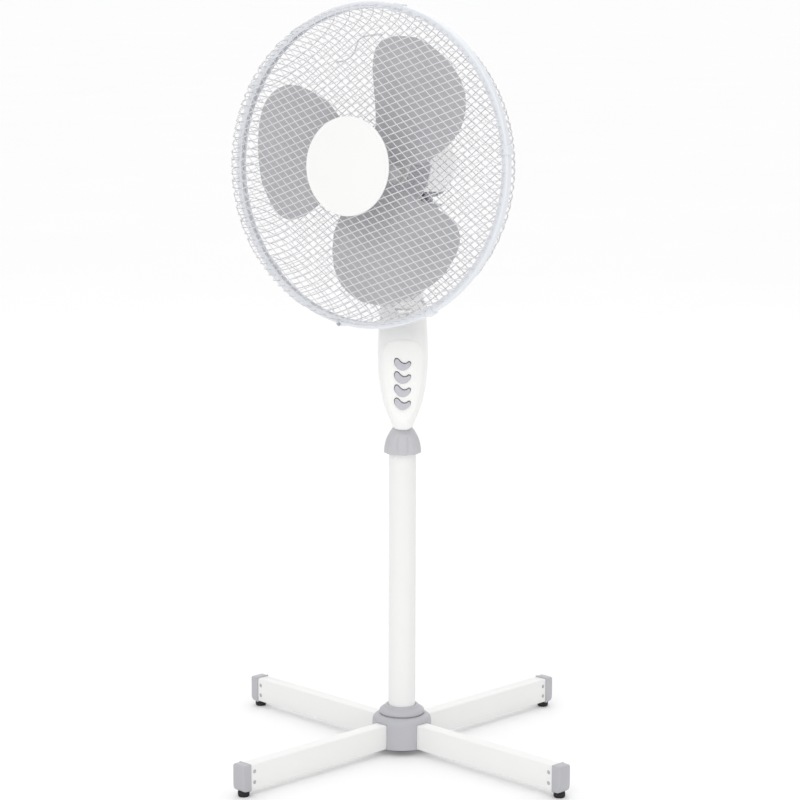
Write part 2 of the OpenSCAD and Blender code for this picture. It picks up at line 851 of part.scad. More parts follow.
module gearbox_lid() {
    color("darkgray") on_head() difference() {
        block([case_x0, case_x1], [case_y0, case_y1], [case_z1, case_z1 + 2.5]);
        translate([wheel_x, gear_y, 0]) cylinder(d = 4 + 2 * run_fit, h = 30);
    }
}

module swivel_clip() {
    color("silver") on_head() translate([0, 0, neck_top - 32]) difference() {
        ring(swivel_d / 2 + 2.5, swivel_d / 2 - 1 + run_fit, 0.8);
        block([-2.5, 2.5], [0, 20], [-1, 2]);
    }
}

module housing_screws() {
    color("silver") on_head() for (a = screw_angles) on_axis(bell_back_y + 2.5) rotate([0, 0, a])
        translate([bell_r - 3, 0, 0]) {
            cylinder(d = 5.5, h = 2.5, $fn = 32);
            translate([0, 0, 2]) cylinder(d = 3, h = bell_back_y - motor_front_y - 6, $fn = 32);
        }
}

// ---------- guard ----------

// Centre line of a grille from the rim to its hub: radius and distance from the rim's plane
function front_line() = [
    [rim_r, rim_half], [rim_r - 5, front_depth * 0.5], [rim_r - 18, front_depth * 0.78],
    [front_hub_r, front_depth]
];
function rear_line() = [
    [rim_r, rim_half], [rim_r - 2, rear_depth * 0.48], [rim_r - 16, rear_depth * 0.8],
    [rear_hub_r, rear_depth]
];

function thickened(line, t) = concat(
    [for (p = line) [p[0] + t / 2, p[1] + t / 2]],
    [for (i = [len(line) - 1:-1:0]) [line[i][0] - t / 2, line[i][1] - t / 2]]
);

module grille_wires(line, hub_r) {
    intersection() {
        rotate_extrude() polygon(thickened(line, wire_t));
        for (i = [0:grille_ribs - 1]) rotate([0, 0, i * 360 / grille_ribs])
            translate([hub_r - 2, -wire_w / 2, 0]) cube([rim_r, wire_w, 2 * rear_depth]);
    }
}

module hoop(r, z) {
    translate([0, 0, z]) rotate_extrude() translate([r, 0]) square(rim_wire_d, center = true);
}

// A hoop on the line between two of its points
module hoop_on(line, i, t) {
    p = line[i] * (1 - t) + line[i + 1] * t;
    hoop(p[0], p[1]);
}

module front_grille() {
    color("gainsboro") on_head() on_axis(-rim_reach) {
        grille_wires(front_line(), front_hub_r);
        hoop(rim_r, rim_half);
        hoop_on(front_line(), 2, 0);
        hoop_on(front_line(), 2, 0.5);
        hoop(front_hub_r, front_depth);
    }
}

module rear_grille() {
    color("gainsboro") on_head() on_axis(-rim_reach) mirror([0, 0, 1]) difference() {
        union() {
            grille_wires(rear_line(), plate_r);
            hoop(rim_r, rim_half);
            hoop_on(rear_line(), 2, 0);
            hoop_on(rear_line(), 2, 0.5);
            translate([0, 0, rear_depth - 2 - 2]) ring(plate_r + 2, boss_d / 2 + slip, 4 - eps);
        }
    }
}

module grille_lock_nut() {
    lugs = 12;
    color("whitesmoke") on_head() on_axis(motor_front_y - 4 - slip) difference() {
        union() {
            cylinder(d = boss_d + 12, h = 7);
            for (i = [0:lugs - 1]) rotate([0, 0, i * 360 / lugs])
                translate([boss_d / 2 + 6, 0, 0]) cylinder(r = 2, h = 7, $fn = 24);
        }
        translate([0, 0, -1]) cylinder(d = boss_d + 2 * run_fit, h = 10);
    }
}

// A soft band round both hoops, its ends lapped and held by a screw along the fan's axis
module rim_band() {
    lip = 1.4;
    color("aliceblue") on_head() difference() {
        union() {
            on_axis(-rim_reach) rotate_extrude() difference() {
                translate([rim_r + 1.4, -band_half]) square([3.1, 2 * band_half]);
                translate([rim_r, lip - band_half]) square([3, 2 * (band_half - lip)]);
            }
            at_rim(screw_angle)
                block([3.6, band_boss], [-band_boss, band_boss], [0.4 - band_half, band_half - 0.4]);
        }
        at_rim(screw_angle) {
            block([0, 10], [lap_half, lap_half + lap_gap], [0, 20]);
            block([0, 10], [-lap_half - lap_gap, -lap_half], [-20, 0]);
            block([0, 10], [-lap_half - lap_gap, lap_half + lap_gap], [-lap_gap / 2, lap_gap / 2]);
            translate([band_screw_x, 0, -20]) cylinder(d = band_screw_d + 2 * run_fit, h = 40, $fn = 32);
        }
    }
}

module rim_clips() {
    half = 6.6;
    color("aliceblue") on_head() for (a = clip_angles) at_rim(a) difference() {
        block([1.6, 7], [-7, 7], [-half - 1.6, half + 1.6]);
        block([0, 4.5 + slip], [-8, 8], [-half, half]);
    }
}

module rim_screw() {
    head_t = 1.6;
    color("gray") on_head() at_rim(screw_angle) translate([band_screw_x, 0, -band_half]) {
        cylinder(d = band_screw_d, h = 2 * band_half + eps, $fn = 32);
        translate([0, 0, 2 * band_half]) cylinder(d1 = 5, d2 = 4, h = head_t, $fn = 32);
    }
}

module centre_badge() {
    edge_t = 3;
    dome_h = 3;
    steps = 8;
    color("white") on_head() on_axis(-rim_reach - front_depth - rim_wire_d / 2 - slip) rotate_extrude()
        polygon(concat(
            [[0, 0], [badge_d / 2, 0]],
            [for (i = [0:steps]) let (t = 90 * i / steps) [badge_d / 2 * cos(t), edge_t + dome_h * sin(t)]]
        ));
}

// ---------- rotor ----------

module motor_shaft() {
    worm_len = 16;
    color("lightsteelblue") on_head() {
        on_axis(shaft_back_y) cylinder(d = shaft_d, h = shaft_back_y - shaft_front_y);
        on_axis(gear_y + worm_len / 2) cylinder(r = worm_r, h = worm_len);
    }
}

module rotor_core() {
    color("lightgray") on_head() on_axis(stack_y + stack_len)
        ring(rotor_r, shaft_d / 2 + eps, stack_len);
}

// One blade seen from the front, a lopsided petal: share of the sweep, angle from +X
BLADE_EDGE = [
    [0.19, 22], [0.43, 24.8], [0.53, 26.8], [0.66, 27.7], [0.76, 27.1], [0.83, 26], [0.87, 24.4],
    [0.9, 22.3], [0.93, 19.8], [0.95, 16.5], [0.97, 12.3], [0.98, 7.3], [0.985, 2.4],
    [0.99, -2.5], [0.995, -8], [1, -16], [1, -22], [0.998, -27], [0.985, -32], [0.963, -36.6],
    [0.935, -40.3], [0.9, -43.6], [0.855, -46.8], [0.8, -49.5], [0.745, -52], [0.69, -54.4],
    [0.63, -56.6], [0.575, -58.7], [0.52, -61], [0.45, -63], [0.19, -62]
];
function blade_outline() = [for (e = BLADE_EDGE) polar(blade_r * e[0], e[1])];
function polar(r, angle) = r * [cos(angle), sin(angle)];

// A curved sheet whose chord is pitched about the blade's length
module blade_sheet() {
    rotate([-blade_pitch, 0, 0]) translate([0, 0, blade_camber_r]) rotate([0, 90, 0]) difference() {
        cylinder(r = blade_camber_r + blade_t, h = 2 * blade_r, center = true, $fn = 180);
        cylinder(r = blade_camber_r, h = 2 * blade_r + 2, center = true, $fn = 180);
    }
}

module blade_plan() {
    translate([0, 0, -60]) linear_extrude(120) polygon(blade_outline());
}

module fan_blade() {
    color("darkgray") on_head() on_axis(blade_back_y - blade_hub_h / 2) difference() {
        union() {
            translate([0, 0, -blade_hub_h / 2]) difference() {
                cylinder(d = blade_hub_d, h = blade_hub_h);
                translate([0, 0, -1]) cylinder(d = blade_hub_d - 5, h = blade_hub_h - 2);
            }
            translate([0, 0, -blade_hub_h / 2]) cylinder(d = shaft_d + 10, h = blade_hub_h);
            for (i = [0:blade_count - 1]) rotate([0, 0, blade_first + i * 360 / blade_count])
                difference() {
                    intersection() {
                        blade_sheet();
                        blade_plan();
                    }
                    translate([0, 0, -60]) cylinder(d = blade_hub_d - 4, h = 120);
                }
        }
        translate([0, 0, -60]) cylinder(d = shaft_d + 2 * eps, h = 120);
    }
}

module spinner_nut() {
    color("darkgray") on_head() on_axis(blade_back_y - blade_hub_h - slip) difference() {
        cylinder(d1 = 34, d2 = 22, h = 22);
        translate([0, 0, -1])
            cylinder(d = shaft_d + 2 * eps, h = blade_back_y - blade_hub_h - shaft_front_y + 1);
    }
}

module worm_wheel() {
    teeth = 24;
    color("ivory") on_head() translate([wheel_x, gear_y, 0]) {
        difference() {
            translate([0, 0, -wheel_h / 2]) cylinder(r = wheel_r, h = wheel_h);
            for (i = [0:teeth - 1]) rotate([0, 0, i * 360 / teeth])
                translate([wheel_r, 0, -wheel_h]) cylinder(r = 0.45, h = 2 * wheel_h, $fn = 12);
        }
        translate([0, 0, gear_z]) cylinder(r = pinion_r, h = -gear_z);
        translate([0, 0, case_z0 + case_wall + 0.5]) cylinder(d = 4, h = case_z1 + 2 - case_z0);
    }
}

module oscillation_gear() {
    teeth = 44;
    color("ivory") on_head() translate([gear_x, gear_y, gear_z]) difference() {
        cylinder(r = gear_r, h = gear_h);
        for (i = [0:teeth - 1]) rotate([0, 0, i * 360 / teeth])
            translate([gear_r, 0, -1]) cylinder(r = 0.8, h = gear_h + 2, $fn = 12);
        translate([0, 0, -1]) cylinder(d = crank_shaft_d + 2 * eps, h = gear_h + 2);
    }
}

module crank_disc() {
    color("gray") on_head() {
        translate([gear_x, gear_y, crank_disc_z]) cylinder(r = crank_r + 5, h = crank_disc_h);
        translate([gear_x, gear_y, crank_disc_z])
            cylinder(d = crank_shaft_d, h = gear_z + gear_h - crank_disc_z);
        translate([pin_x, pin_y, link_z - 2.2]) cylinder(d = crank_pin_d, h = crank_disc_z - link_z + 3);
        translate([pin_x, pin_y, link_z - 2.2]) cylinder(d = crank_pin_d + 4, h = 1.8);
    }
}

module swing_link() {
    color("gray") on_head() difference() {
        union() {
            translate([pin_x, pin_y, link_z]) cylinder(r = 5, h = link_h);
            translate([neck_pin_x, neck_pin_y, link_z]) cylinder(r = link_eye_r, h = link_h);
            translate([pin_x, pin_y, link_z])
                rotate([0, 0, atan2(neck_pin_y - pin_y, neck_pin_x - pin_x)])
                    translate([0, -3, 0])
                        cube([norm([neck_pin_x - pin_x, neck_pin_y - pin_y]), 6, link_h]);
        }
        translate([pin_x, pin_y, link_z - 1]) cylinder(d = crank_pin_d + 2 * run_fit, h = 10);
        translate([neck_pin_x, neck_pin_y, link_z - 1]) cylinder(d = 4, h = 10);
    }
}

module clutch_knob() {
    color("white") on_head() translate([wheel_x, gear_y, 0]) {
        translate([0, 0, case_z1 + knob_travel])
            cylinder(d = rod_d, h = motor_r + 4 - case_z1 - knob_travel);
        translate([0, 0, motor_r + 0.6]) cylinder(d1 = knob_d, d2 = knob_d - 3, h = 18);
    }
}

cross_arm_lower();
cross_arm_upper();
arm_end_caps();
foot_pads();
arm_rivets();
base_hub();
pole_collar();
base_bolt();
base_washer();
pole_plug();
outer_pole();
grip_sleeve();
lock_nut();
inner_tube();
tube_bush();
control_front_cover();
control_rear_cover();
control_panel();
button_off();
button_low();
button_medium();
button_high();
switch_body();
run_capacitor();
control_screws();
tube_bolt();
cord_gland();
tilt_bolt();
tilt_nut();
neck_bracket();
swivel_bush();
motor_front_housing();
motor_rear_bell();
motor_cover();
stator_core();
stator_windings();
front_bearing();
rear_bearing();
gearbox_case();
gearbox_lid();
swivel_clip();
housing_screws();
rear_grille();
grille_lock_nut();
front_grille();
rim_band();
centre_badge();
rim_clips();
rim_screw();
motor_shaft();
rotor_core();
fan_blade();
spinner_nut();
worm_wheel();
oscillation_gear();
crank_disc();
swing_link();
clutch_knob();
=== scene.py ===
"""A pedestal fan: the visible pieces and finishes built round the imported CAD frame."""

import json
import math

import bpy
from mathutils import Matrix, Vector


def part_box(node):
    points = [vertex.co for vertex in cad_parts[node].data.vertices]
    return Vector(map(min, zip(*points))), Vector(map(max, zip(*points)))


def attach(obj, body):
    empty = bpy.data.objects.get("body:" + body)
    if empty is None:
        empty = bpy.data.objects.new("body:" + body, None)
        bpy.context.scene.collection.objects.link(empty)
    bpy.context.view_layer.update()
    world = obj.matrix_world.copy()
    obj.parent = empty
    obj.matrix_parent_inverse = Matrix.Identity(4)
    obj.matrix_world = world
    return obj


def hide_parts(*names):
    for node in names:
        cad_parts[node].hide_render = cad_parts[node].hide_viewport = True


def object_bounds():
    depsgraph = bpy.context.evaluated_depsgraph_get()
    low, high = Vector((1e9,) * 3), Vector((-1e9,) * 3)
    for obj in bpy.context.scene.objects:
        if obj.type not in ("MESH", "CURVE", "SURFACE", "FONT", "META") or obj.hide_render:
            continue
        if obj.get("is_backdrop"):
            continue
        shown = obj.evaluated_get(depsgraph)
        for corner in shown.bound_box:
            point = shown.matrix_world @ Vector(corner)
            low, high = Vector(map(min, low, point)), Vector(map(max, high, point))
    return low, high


bl_info = {
    "name": "Pedestal Fan",
    "version": (1, 0, 0),
    "blender": (4, 5, 0),
    "location": "3D View > Sidebar > Fan",
    "description": "Builds a mesh-guarded pedestal fan round its CAD frame",
    "category": "Object",
}

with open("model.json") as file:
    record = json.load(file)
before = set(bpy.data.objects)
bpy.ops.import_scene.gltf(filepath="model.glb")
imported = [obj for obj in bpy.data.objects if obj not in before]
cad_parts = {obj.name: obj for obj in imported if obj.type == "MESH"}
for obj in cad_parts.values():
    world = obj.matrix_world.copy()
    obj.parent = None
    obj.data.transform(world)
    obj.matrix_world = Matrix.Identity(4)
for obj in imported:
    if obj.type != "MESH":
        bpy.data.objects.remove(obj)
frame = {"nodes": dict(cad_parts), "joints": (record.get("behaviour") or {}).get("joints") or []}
CAD_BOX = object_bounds()
JOINTS = {joint["name"]: joint for joint in frame["joints"]}
MM = 0.001

# ---------- places, all read from the frame ----------
# Vectors of the joints are in metres, and corners of CAD boxes in millimetres

FORWARD = Vector(JOINTS["blade_spin"]["axis"]).normalized()
UPRIGHT = Vector(JOINTS["oscillate"]["axis"]).normalized()
RIM_CENTRE = Vector(JOINTS["blade_spin"]["pos_m"])
SWIVEL = Vector(JOINTS["oscillate"]["pos_m"])
SWIVEL += UPRIGHT * (RIM_CENTRE - SWIVEL).dot(UPRIGHT)
TILT_PIN = Vector(JOINTS["tilt"]["pos_m"])


def axes(x, y, z, origin):
    """The matrix that takes a piece made about the origin to these axes."""
    turn = Matrix((x, y, z)).transposed().to_4x4()
    return Matrix.Translation(origin) @ turn


# Guard: x to the right, y up and z forward, about the middle of the rim
GUARD = axes(UPRIGHT.cross(FORWARD), UPRIGHT, FORWARD, RIM_CENTRE)
# Head: x to the right, y backwards and z up, about the swivel axis at the fan's height
HEAD = axes(UPRIGHT.cross(FORWARD), -FORWARD, UPRIGHT, SWIVEL)

HUB_LOW, HUB_HIGH = (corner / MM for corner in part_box("base_hub"))
ARM_LOW, ARM_HIGH = (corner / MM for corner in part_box("cross_arm_lower"))
NUT_LOW, NUT_HIGH = (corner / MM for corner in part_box("lock_nut"))
BOX_LOW, BOX_HIGH = (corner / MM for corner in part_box("control_front_cover"))
COLLAR_LOW, COLLAR_HIGH = (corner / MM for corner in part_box("pole_collar"))
POLE_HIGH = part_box("outer_pole")[1] / MM


def linear(code):
    """An sRGB hex colour as linear red, green and blue."""
    parts = [int(code[i:i + 2], 16) / 255 for i in (1, 3, 5)]
    return tuple(c / 12.92 if c <= 0.04045 else ((c + 0.055) / 1.055) ** 2.4 for c in parts)


def length(name, description, size):
    """A length that the panel shows in metres, given in millimetres."""
    return bpy.props.FloatProperty(
        name=name, description=description, default=size * MM, min=0, unit="LENGTH")


def colour(name, description, code):
    """A colour for the panel, given as sRGB hex."""
    return bpy.props.FloatVectorProperty(
        name=name, description=description, default=linear(code), size=3, min=0, max=1,
        subtype="COLOR")


class FanSizes(bpy.types.PropertyGroup):
    """Sizes that may change without touching the frame."""
    mesh_wire: length("Mesh wire", "Diameter of the guard's mesh wires", 1.3)
    rim_wire: length("Rim wire", "Diameter of the two hoops at the rim", 4)
    front_pitch: length("Front mesh", "Distance between the front mesh's flat wires", 9.45)
    cross_pitch: length("Front cross", "Distance between the front mesh's steep wires", 10.2)
    rear_pitch: length("Rear mesh", "Distance between the rear mesh's wires", 8.9)
    blade_wall: length("Blade", "Thickness of a propeller blade", 2.4)
    soft_edge: length("Soft edge", "Rounding of moulded edges", 0.8)


class FanColours(bpy.types.PropertyGroup):
    """Colours of the finishes."""
    tube: colour("Tubes", "Powder coat of foot and column", "#EFEFEE")
    shell: colour("Shells", "Moulded white plastic", "#F4F4F3")
    panel: colour("Panel", "Raised control panel", "#F8F8F6")
    fittings: colour("Fittings", "Hub and end caps", "#B9B9BE")
    nut: colour("Lock nut", "Height lock nut", "#C4C4C8")
    buttons: colour("Buttons", "Piano buttons", "#C4C3CA")
    blades: colour("Blades", "Propeller", "#BDBDC0")
    wires: colour("Wires", "Guard wires", "#DFDFE2")
    band: colour("Band", "Rim band and its clips", "#E6E9EE")


# ---------- finishes ----------

WAVE_STEP = 1 / 3.14      # distance between a wave texture's lines at scale 1


def add_node(tree, kind, sockets=None, **settings):
    """Adds one node. A socket takes a value, or the output that feeds it."""
    node = tree.nodes.new(kind)
    for name, value in settings.items():
        setattr(node, name, value)
    for name, value in (sockets or {}).items():
        if isinstance(value, bpy.types.NodeSocket):
            tree.links.new(value, node.inputs[name])
        else:
            node.inputs[name].default_value = value
    return node


def new_finish(name):
    """An empty material with its shader, and the piece's own coordinates."""
    finish = bpy.data.materials.new(name)
    finish.use_nodes = True
    tree = finish.node_tree
    tree.nodes.clear()
    shader = add_node(tree, "ShaderNodeBsdfPrincipled")
    add_node(tree, "ShaderNodeOutputMaterial", {"Surface": shader.outputs["BSDF"]})
    place = add_node(tree, "ShaderNodeTexCoord").outputs["Object"]
    return finish, tree, shader, place


def vary(tree, place, size, low, high, detail=2.0):
    """A soft noise whose lumps are size mm, from low to high."""
    noise = add_node(tree, "ShaderNodeTexNoise",
                     {"Vector": place, "Scale": 1 / (size * MM), "Detail": detail})
    return add_node(tree, "ShaderNodeMapRange",
                    {"Value": noise.outputs["Fac"], "From Min": 0.3, "From Max": 0.7,
                     "To Min": low, "To Max": high}).outputs["Result"]


def tint(tree, place, rgb, size, depth):
    """The colour, a little darker and lighter in patches of size mm."""
    share = vary(tree, place, size, 0.0, 1.0)
    dark = [c * (1 - depth) for c in rgb]
    return add_node(tree, "ShaderNodeMix", {
        "Factor": share, "A": (*dark, 1), "B": (*rgb, 1)}, data_type="RGBA").outputs["Result"]


def moulded(name, rgb, roughness, grain=0.7, depth=0.02, patch=60, worn=0.015, coat=0.0,
            wander=0.03):
    """Moulded or coated surface: spark-eroded grain or orange peel of grain mm, depth mm deep,
    with gloss and colour that wander slightly over patch mm."""
    finish, tree, shader, place = new_finish(name)
    shader.inputs["IOR"].default_value = 1.5
    shader.inputs["Coat Weight"].default_value = coat
    shader.inputs["Coat Roughness"].default_value = 0.12
    tree.links.new(tint(tree, place, rgb, patch, worn), shader.inputs["Base Color"])
    tree.links.new(vary(tree, place, patch / 3, roughness - wander, roughness + wander),
                   shader.inputs["Roughness"])
    grains = add_node(tree, "ShaderNodeTexNoise",
                      {"Vector": place, "Scale": 1 / (grain * MM), "Detail": 1.0})
    bump = add_node(tree, "ShaderNodeBump", {
        "Height": grains.outputs["Fac"], "Distance": depth * MM, "Strength": 0.6})
    tree.links.new(bump.outputs["Normal"], shader.inputs["Normal"])
    return finish


def metal(name, rgb, roughness, grain=0.4, stretch=(1, 1, 1), depth=0.01):
    """Bare metal, its scratches or cast skin stretched along an axis."""
    finish, tree, shader, place = new_finish(name)
    shader.inputs["Metallic"].default_value = 1.0
    drawn_out = add_node(tree, "ShaderNodeMapping", {"Vector": place, "Scale": stretch})
    skin = drawn_out.outputs["Vector"]
    tree.links.new(tint(tree, place, rgb, 12, 0.08), shader.inputs["Base Color"])
    tree.links.new(vary(tree, skin, grain * 4, roughness - 0.06, roughness + 0.08),
                   shader.inputs["Roughness"])
    scratches = add_node(tree, "ShaderNodeTexNoise",
                         {"Vector": skin, "Scale": 1 / (grain * MM), "Detail": 3.0})
    bump = add_node(tree, "ShaderNodeBump", {
        "Height": scratches.outputs["Fac"], "Distance": depth * MM, "Strength": 0.5})
    tree.links.new(bump.outputs["Normal"], shader.inputs["Normal"])
    return finish


def layered(name, rgb, dark, sheet, roughness, metallic):
    """Stacked sheets or wound wire: fine lines across the piece, sheet mm apart."""
    finish, tree, shader, place = new_finish(name)
    shader.inputs["Metallic"].default_value = metallic
    lines = add_node(tree, "ShaderNodeTexWave", {
        "Vector": place, "Scale": WAVE_STEP / (sheet * MM), "Distortion": 0.3},
        bands_direction="Y")
    mix = add_node(tree, "ShaderNodeMix", {
        "Factor": lines.outputs["Fac"], "A": (*dark, 1), "B": (*rgb, 1)}, data_type="RGBA")
    tree.links.new(mix.outputs["Result"], shader.inputs["Base Color"])
    tree.links.new(vary(tree, place, 6, roughness - 0.05, roughness + 0.1),
                   shader.inputs["Roughness"])
    bump = add_node(tree, "ShaderNodeBump", {
        "Height": lines.outputs["Fac"], "Distance": 0.1 * MM, "Strength": 0.6})
    tree.links.new(bump.outputs["Normal"], shader.inputs["Normal"])
    return finish


def make_finishes(shades):
    """Every finish, by the slot of the record that it stands for."""
    return {
        # Polyester powder on steel tube: a shallow orange peel that softens reflections
        "white_tube": moulded("powder_coated_steel", shades.tube, 0.34, grain=1.6, depth=0.03),
        # ABS from a polished tool: a satin gloss with hardly any grain
        "white_plastic": moulded("moulded_abs", shades.shell, 0.3, grain=0.9, depth=0.01,
                                 patch=90, worn=0.006, wander=0.01),
        # ABS from a mirror-polished insert: clear, bright reflections
        "panel_plastic": moulded("polished_abs", shades.panel, 0.18, grain=2.5, depth=0.008,
                                 coat=0.2),
        # Polypropylene from a spark-eroded tool: an even, fine matt grain
        "grey_plastic": moulded("grained_polypropylene", shades.fittings, 0.48, grain=0.8,
                                depth=0.05, worn=0.04),
        # The same with a finer grain, which catches soft light
        "light_grey_plastic": moulded("fine_grained_polypropylene", shades.nut, 0.42,
                                      grain=0.6, depth=0.03, worn=0.03),
        # Small glossy ABS keys, polished where fingers press
        "button_grey": moulded("abs_keys", shades.buttons, 0.26, grain=0.7, depth=0.012,
                               patch=8),
        # Talc-filled polypropylene: semi-matt with faint flow marks
        "blade_grey": moulded("filled_polypropylene", shades.blades, 0.36, grain=1.2,
                              depth=0.03, patch=45, worn=0.05),
        # Epoxy-dipped steel wire: thick, smooth and a little glossy
        "white_wire": moulded("dipped_wire", shades.wires, 0.34, grain=1.5, depth=0.02),
        # Soft PVC, cool white, with a wet gloss
        "band_plastic": moulded("soft_pvc", shades.band, 0.2, grain=1.8, depth=0.02,
                                coat=0.3),
        # Black rubber: matt, dusty at its edges
        "rubber": moulded("moulded_rubber", linear("#1B1B1C"), 0.7, grain=0.5, depth=0.06,
                          patch=10, worn=0.2),
        # Black nylon and phenolic parts inside
        "black_plastic": moulded("black_nylon", linear("#222324"), 0.5, grain=0.6, depth=0.03,
                                 patch=10, worn=0.1),
        # Uncoloured nylon: warm and slightly waxy
        "nylon": moulded("natural_nylon", linear("#E6DFCB"), 0.4, grain=0.8, depth=0.02,
                         patch=10, worn=0.03),
        # Bright zinc plate on turned steel
        "steel": metal("zinc_plated_steel", linear("#B9BBBE"), 0.32, grain=0.3),
        # Chrome plate on drawn tube: mirror bright with faint lines along it
        "tube_chrome": metal("chromed_tube", linear("#D6D8DB"), 0.12, grain=0.4,
                             stretch=(1, 1, 0.05)),
        # Sintered bronze: open-pored and dull
        "bronze": metal("sintered_bronze", linear("#B08A4E"), 0.5, grain=0.2, depth=0.03),
        # Die-cast aluminium: grey, with a cold-flow skin
        "casting": metal("die_cast_aluminium", linear("#A9ACB1"), 0.45, grain=0.9, depth=0.03),
        # Stacked electrical steel, 0.5 mm sheets drawn 1 mm apart so that they show
        "lamination": layered("electrical_steel", linear("#7C8288"), linear("#3D4247"),
                              sheet=1.0, roughness=0.4, metallic=0.8),
        # Enamelled copper wire, 0.4 mm drawn as 0.8 mm so that it shows
        "copper": layered("enamelled_copper", linear("#B4662F"), linear("#5E2E14"),
                          sheet=0.8, roughness=0.3, metallic=0.6),
    }


FINISHES = {}

# ---------- modelling ----------


def clear_selection():
    """Leaves edit mode and deselects everything, the CAD nodes too."""
    if bpy.context.object and bpy.context.object.mode != "OBJECT":
        bpy.ops.object.mode_set(mode="OBJECT")
    bpy.ops.object.select_all(action="DESELECT")


def new_piece(name):
    """Names the primitive that was just added."""
    piece = bpy.context.object
    piece.name = piece.data.name = name
    return piece


def only(piece):
    """Selects just this piece and makes it active."""
    clear_selection()
    piece.select_set(True)
    bpy.context.view_layer.objects.active = piece


def pick(piece, test):
    """Goes to edit mode with just the vertices selected whose place passes the test."""
    bpy.ops.object.mode_set(mode="OBJECT")
    for part in (piece.data.polygons, piece.data.edges, piece.data.vertices):
        part.foreach_set("select", [False] * len(part))
    for vertex in piece.data.vertices:
        vertex.select = test(vertex.co)
    bpy.ops.object.mode_set(mode="EDIT")
    bpy.ops.mesh.select_mode(type="VERT")


def resize(piece, test, factors, centre):
    """Scales the chosen vertices about a centre, in edit mode."""
    pick(piece, test)
    bpy.ops.transform.resize(value=factors, center_override=centre)


def close_up(inside=False):
    """Merges doubles and turns all faces outwards, from edit mode back to object mode."""
    bpy.ops.mesh.select_all(action="SELECT")
    bpy.ops.mesh.remove_doubles(threshold=1e-6)
    bpy.ops.mesh.normals_make_consistent(inside=inside)
    bpy.ops.object.mode_set(mode="OBJECT")


def polyline(name, points):
    """A chain of edges drawn by extruding one vertex from point to point."""
    clear_selection()
    bpy.ops.mesh.primitive_plane_add(size=MM)
    piece = new_piece(name)
    bpy.ops.object.mode_set(mode="EDIT")
    bpy.ops.mesh.merge(type="CENTER")
    points = [Vector(point) * MM for point in points]
    bpy.ops.transform.translate(value=points[0])
    here = points[0]
    for point in points[1:]:
        bpy.ops.mesh.extrude_vertices_move(TRANSFORM_OT_translate={"value": point - here})
        here = point
    return piece


def eased(corners, closed=True, steps=4):
    """Rounds the corners (x, y, rounding) of an outline."""
    points = []
    count = len(corners)
    for i, (x, y, rounding) in enumerate(corners):
        corner = Vector((x, y))
        if rounding == 0 or (not closed and i in (0, count - 1)):
            points.append(corner)
            continue
        before = Vector(corners[i - 1][:2]) - corner
        after = Vector(corners[(i + 1) % count][:2]) - corner
        start = corner + before.normalized() * min(rounding, before.length / 2)
        end = corner + after.normalized() * min(rounding, after.length / 2)
        for k in range(steps + 1):
            t = k / steps
            points.append(start * (1 - t) ** 2 + corner * 2 * t * (1 - t) + end * t ** 2)
    return [point for i, point in enumerate(points)
            if i == 0 or (point - points[i - 1]).length > 0.02]


def spun(name, corners, steps=96, closed=True):
    """A turned piece: its eased profile (radius, height, rounding) spun about Z."""
    outline = eased(corners, closed)
    outline = outline + [outline[0]] if closed else outline
    piece = polyline(name, [(r, 0, z) for r, z in outline])
    bpy.ops.mesh.select_all(action="SELECT")
    bpy.ops.mesh.remove_doubles(threshold=1e-7)
    bpy.ops.mesh.select_all(action="SELECT")
    bpy.ops.mesh.spin(steps=steps, angle=math.tau, center=(0, 0, 0), axis=(0, 0, 1))
    close_up()
    return piece


def prism(name, outline, low, high):
    """A closed outline in X and Y, extruded from one height to the other."""
    piece = polyline(name, [(x, y, low) for x, y in outline])
    bpy.ops.mesh.select_all(action="SELECT")
    bpy.ops.mesh.edge_face_add()
    bpy.ops.mesh.extrude_region_move(
        TRANSFORM_OT_translate={"value": (0, 0, (high - low) * MM)})
    close_up()
    return piece


def slab(name, low, high):
    """A box between two corners."""
    clear_selection()
    low, high = Vector(low) * MM, Vector(high) * MM
    bpy.ops.mesh.primitive_cube_add(size=1, location=(low + high) / 2)
    piece = new_piece(name)
    bpy.ops.transform.resize(value=high - low)
    bpy.ops.object.transform_apply(location=True, rotation=True, scale=True)
    return piece


def rod(name, radius, start, end, sides=32):
    """A cylinder from one point to the other."""
    clear_selection()
    start, end = Vector(start) * MM, Vector(end) * MM
    turn = (end - start).to_track_quat("Z", "Y").to_euler()
    bpy.ops.mesh.primitive_cylinder_add(
        vertices=sides, radius=radius * MM, depth=(end - start).length,
        location=(start + end) / 2, rotation=turn)
    piece = new_piece(name)
    bpy.ops.object.transform_apply(location=True, rotation=True, scale=True)
    return piece


def moved(piece, place):
    """Moves a piece by a matrix and puts the place into its mesh."""
    only(piece)
    piece.matrix_world = place @ piece.matrix_world
    bpy.ops.object.transform_apply(location=True, rotation=True, scale=True)
    return piece


def turned(piece, degrees):
    """Turns a piece about Z."""
    return moved(piece, Matrix.Rotation(math.radians(degrees), 4, "Z"))


def twin(piece, name):
    """A copy with its own mesh."""
    only(piece)
    bpy.ops.object.duplicate()
    return new_piece(name)


def apply(piece, kind, **settings):
    """Adds a modifier with its settings and applies it."""
    only(piece)
    modifier = piece.modifiers.new(kind.lower(), kind)
    for name, value in settings.items():
        setattr(modifier, name, value)
    bpy.ops.object.modifier_apply(modifier=modifier.name)
    return piece


def soften(piece, width, segments=3, angle=35):
    """Rounds every edge sharper than the angle."""
    return apply(piece, "BEVEL", width=width * MM, segments=segments, limit_method="ANGLE",
                 angle_limit=math.radians(angle), use_clamp_overlap=True)


def cut(piece, tool, operation="DIFFERENCE"):
    """Cuts a piece with a tool, which is then thrown away."""
    apply(piece, "BOOLEAN", object=tool, operation=operation, solver="EXACT")
    bpy.data.objects.remove(tool)
    return piece


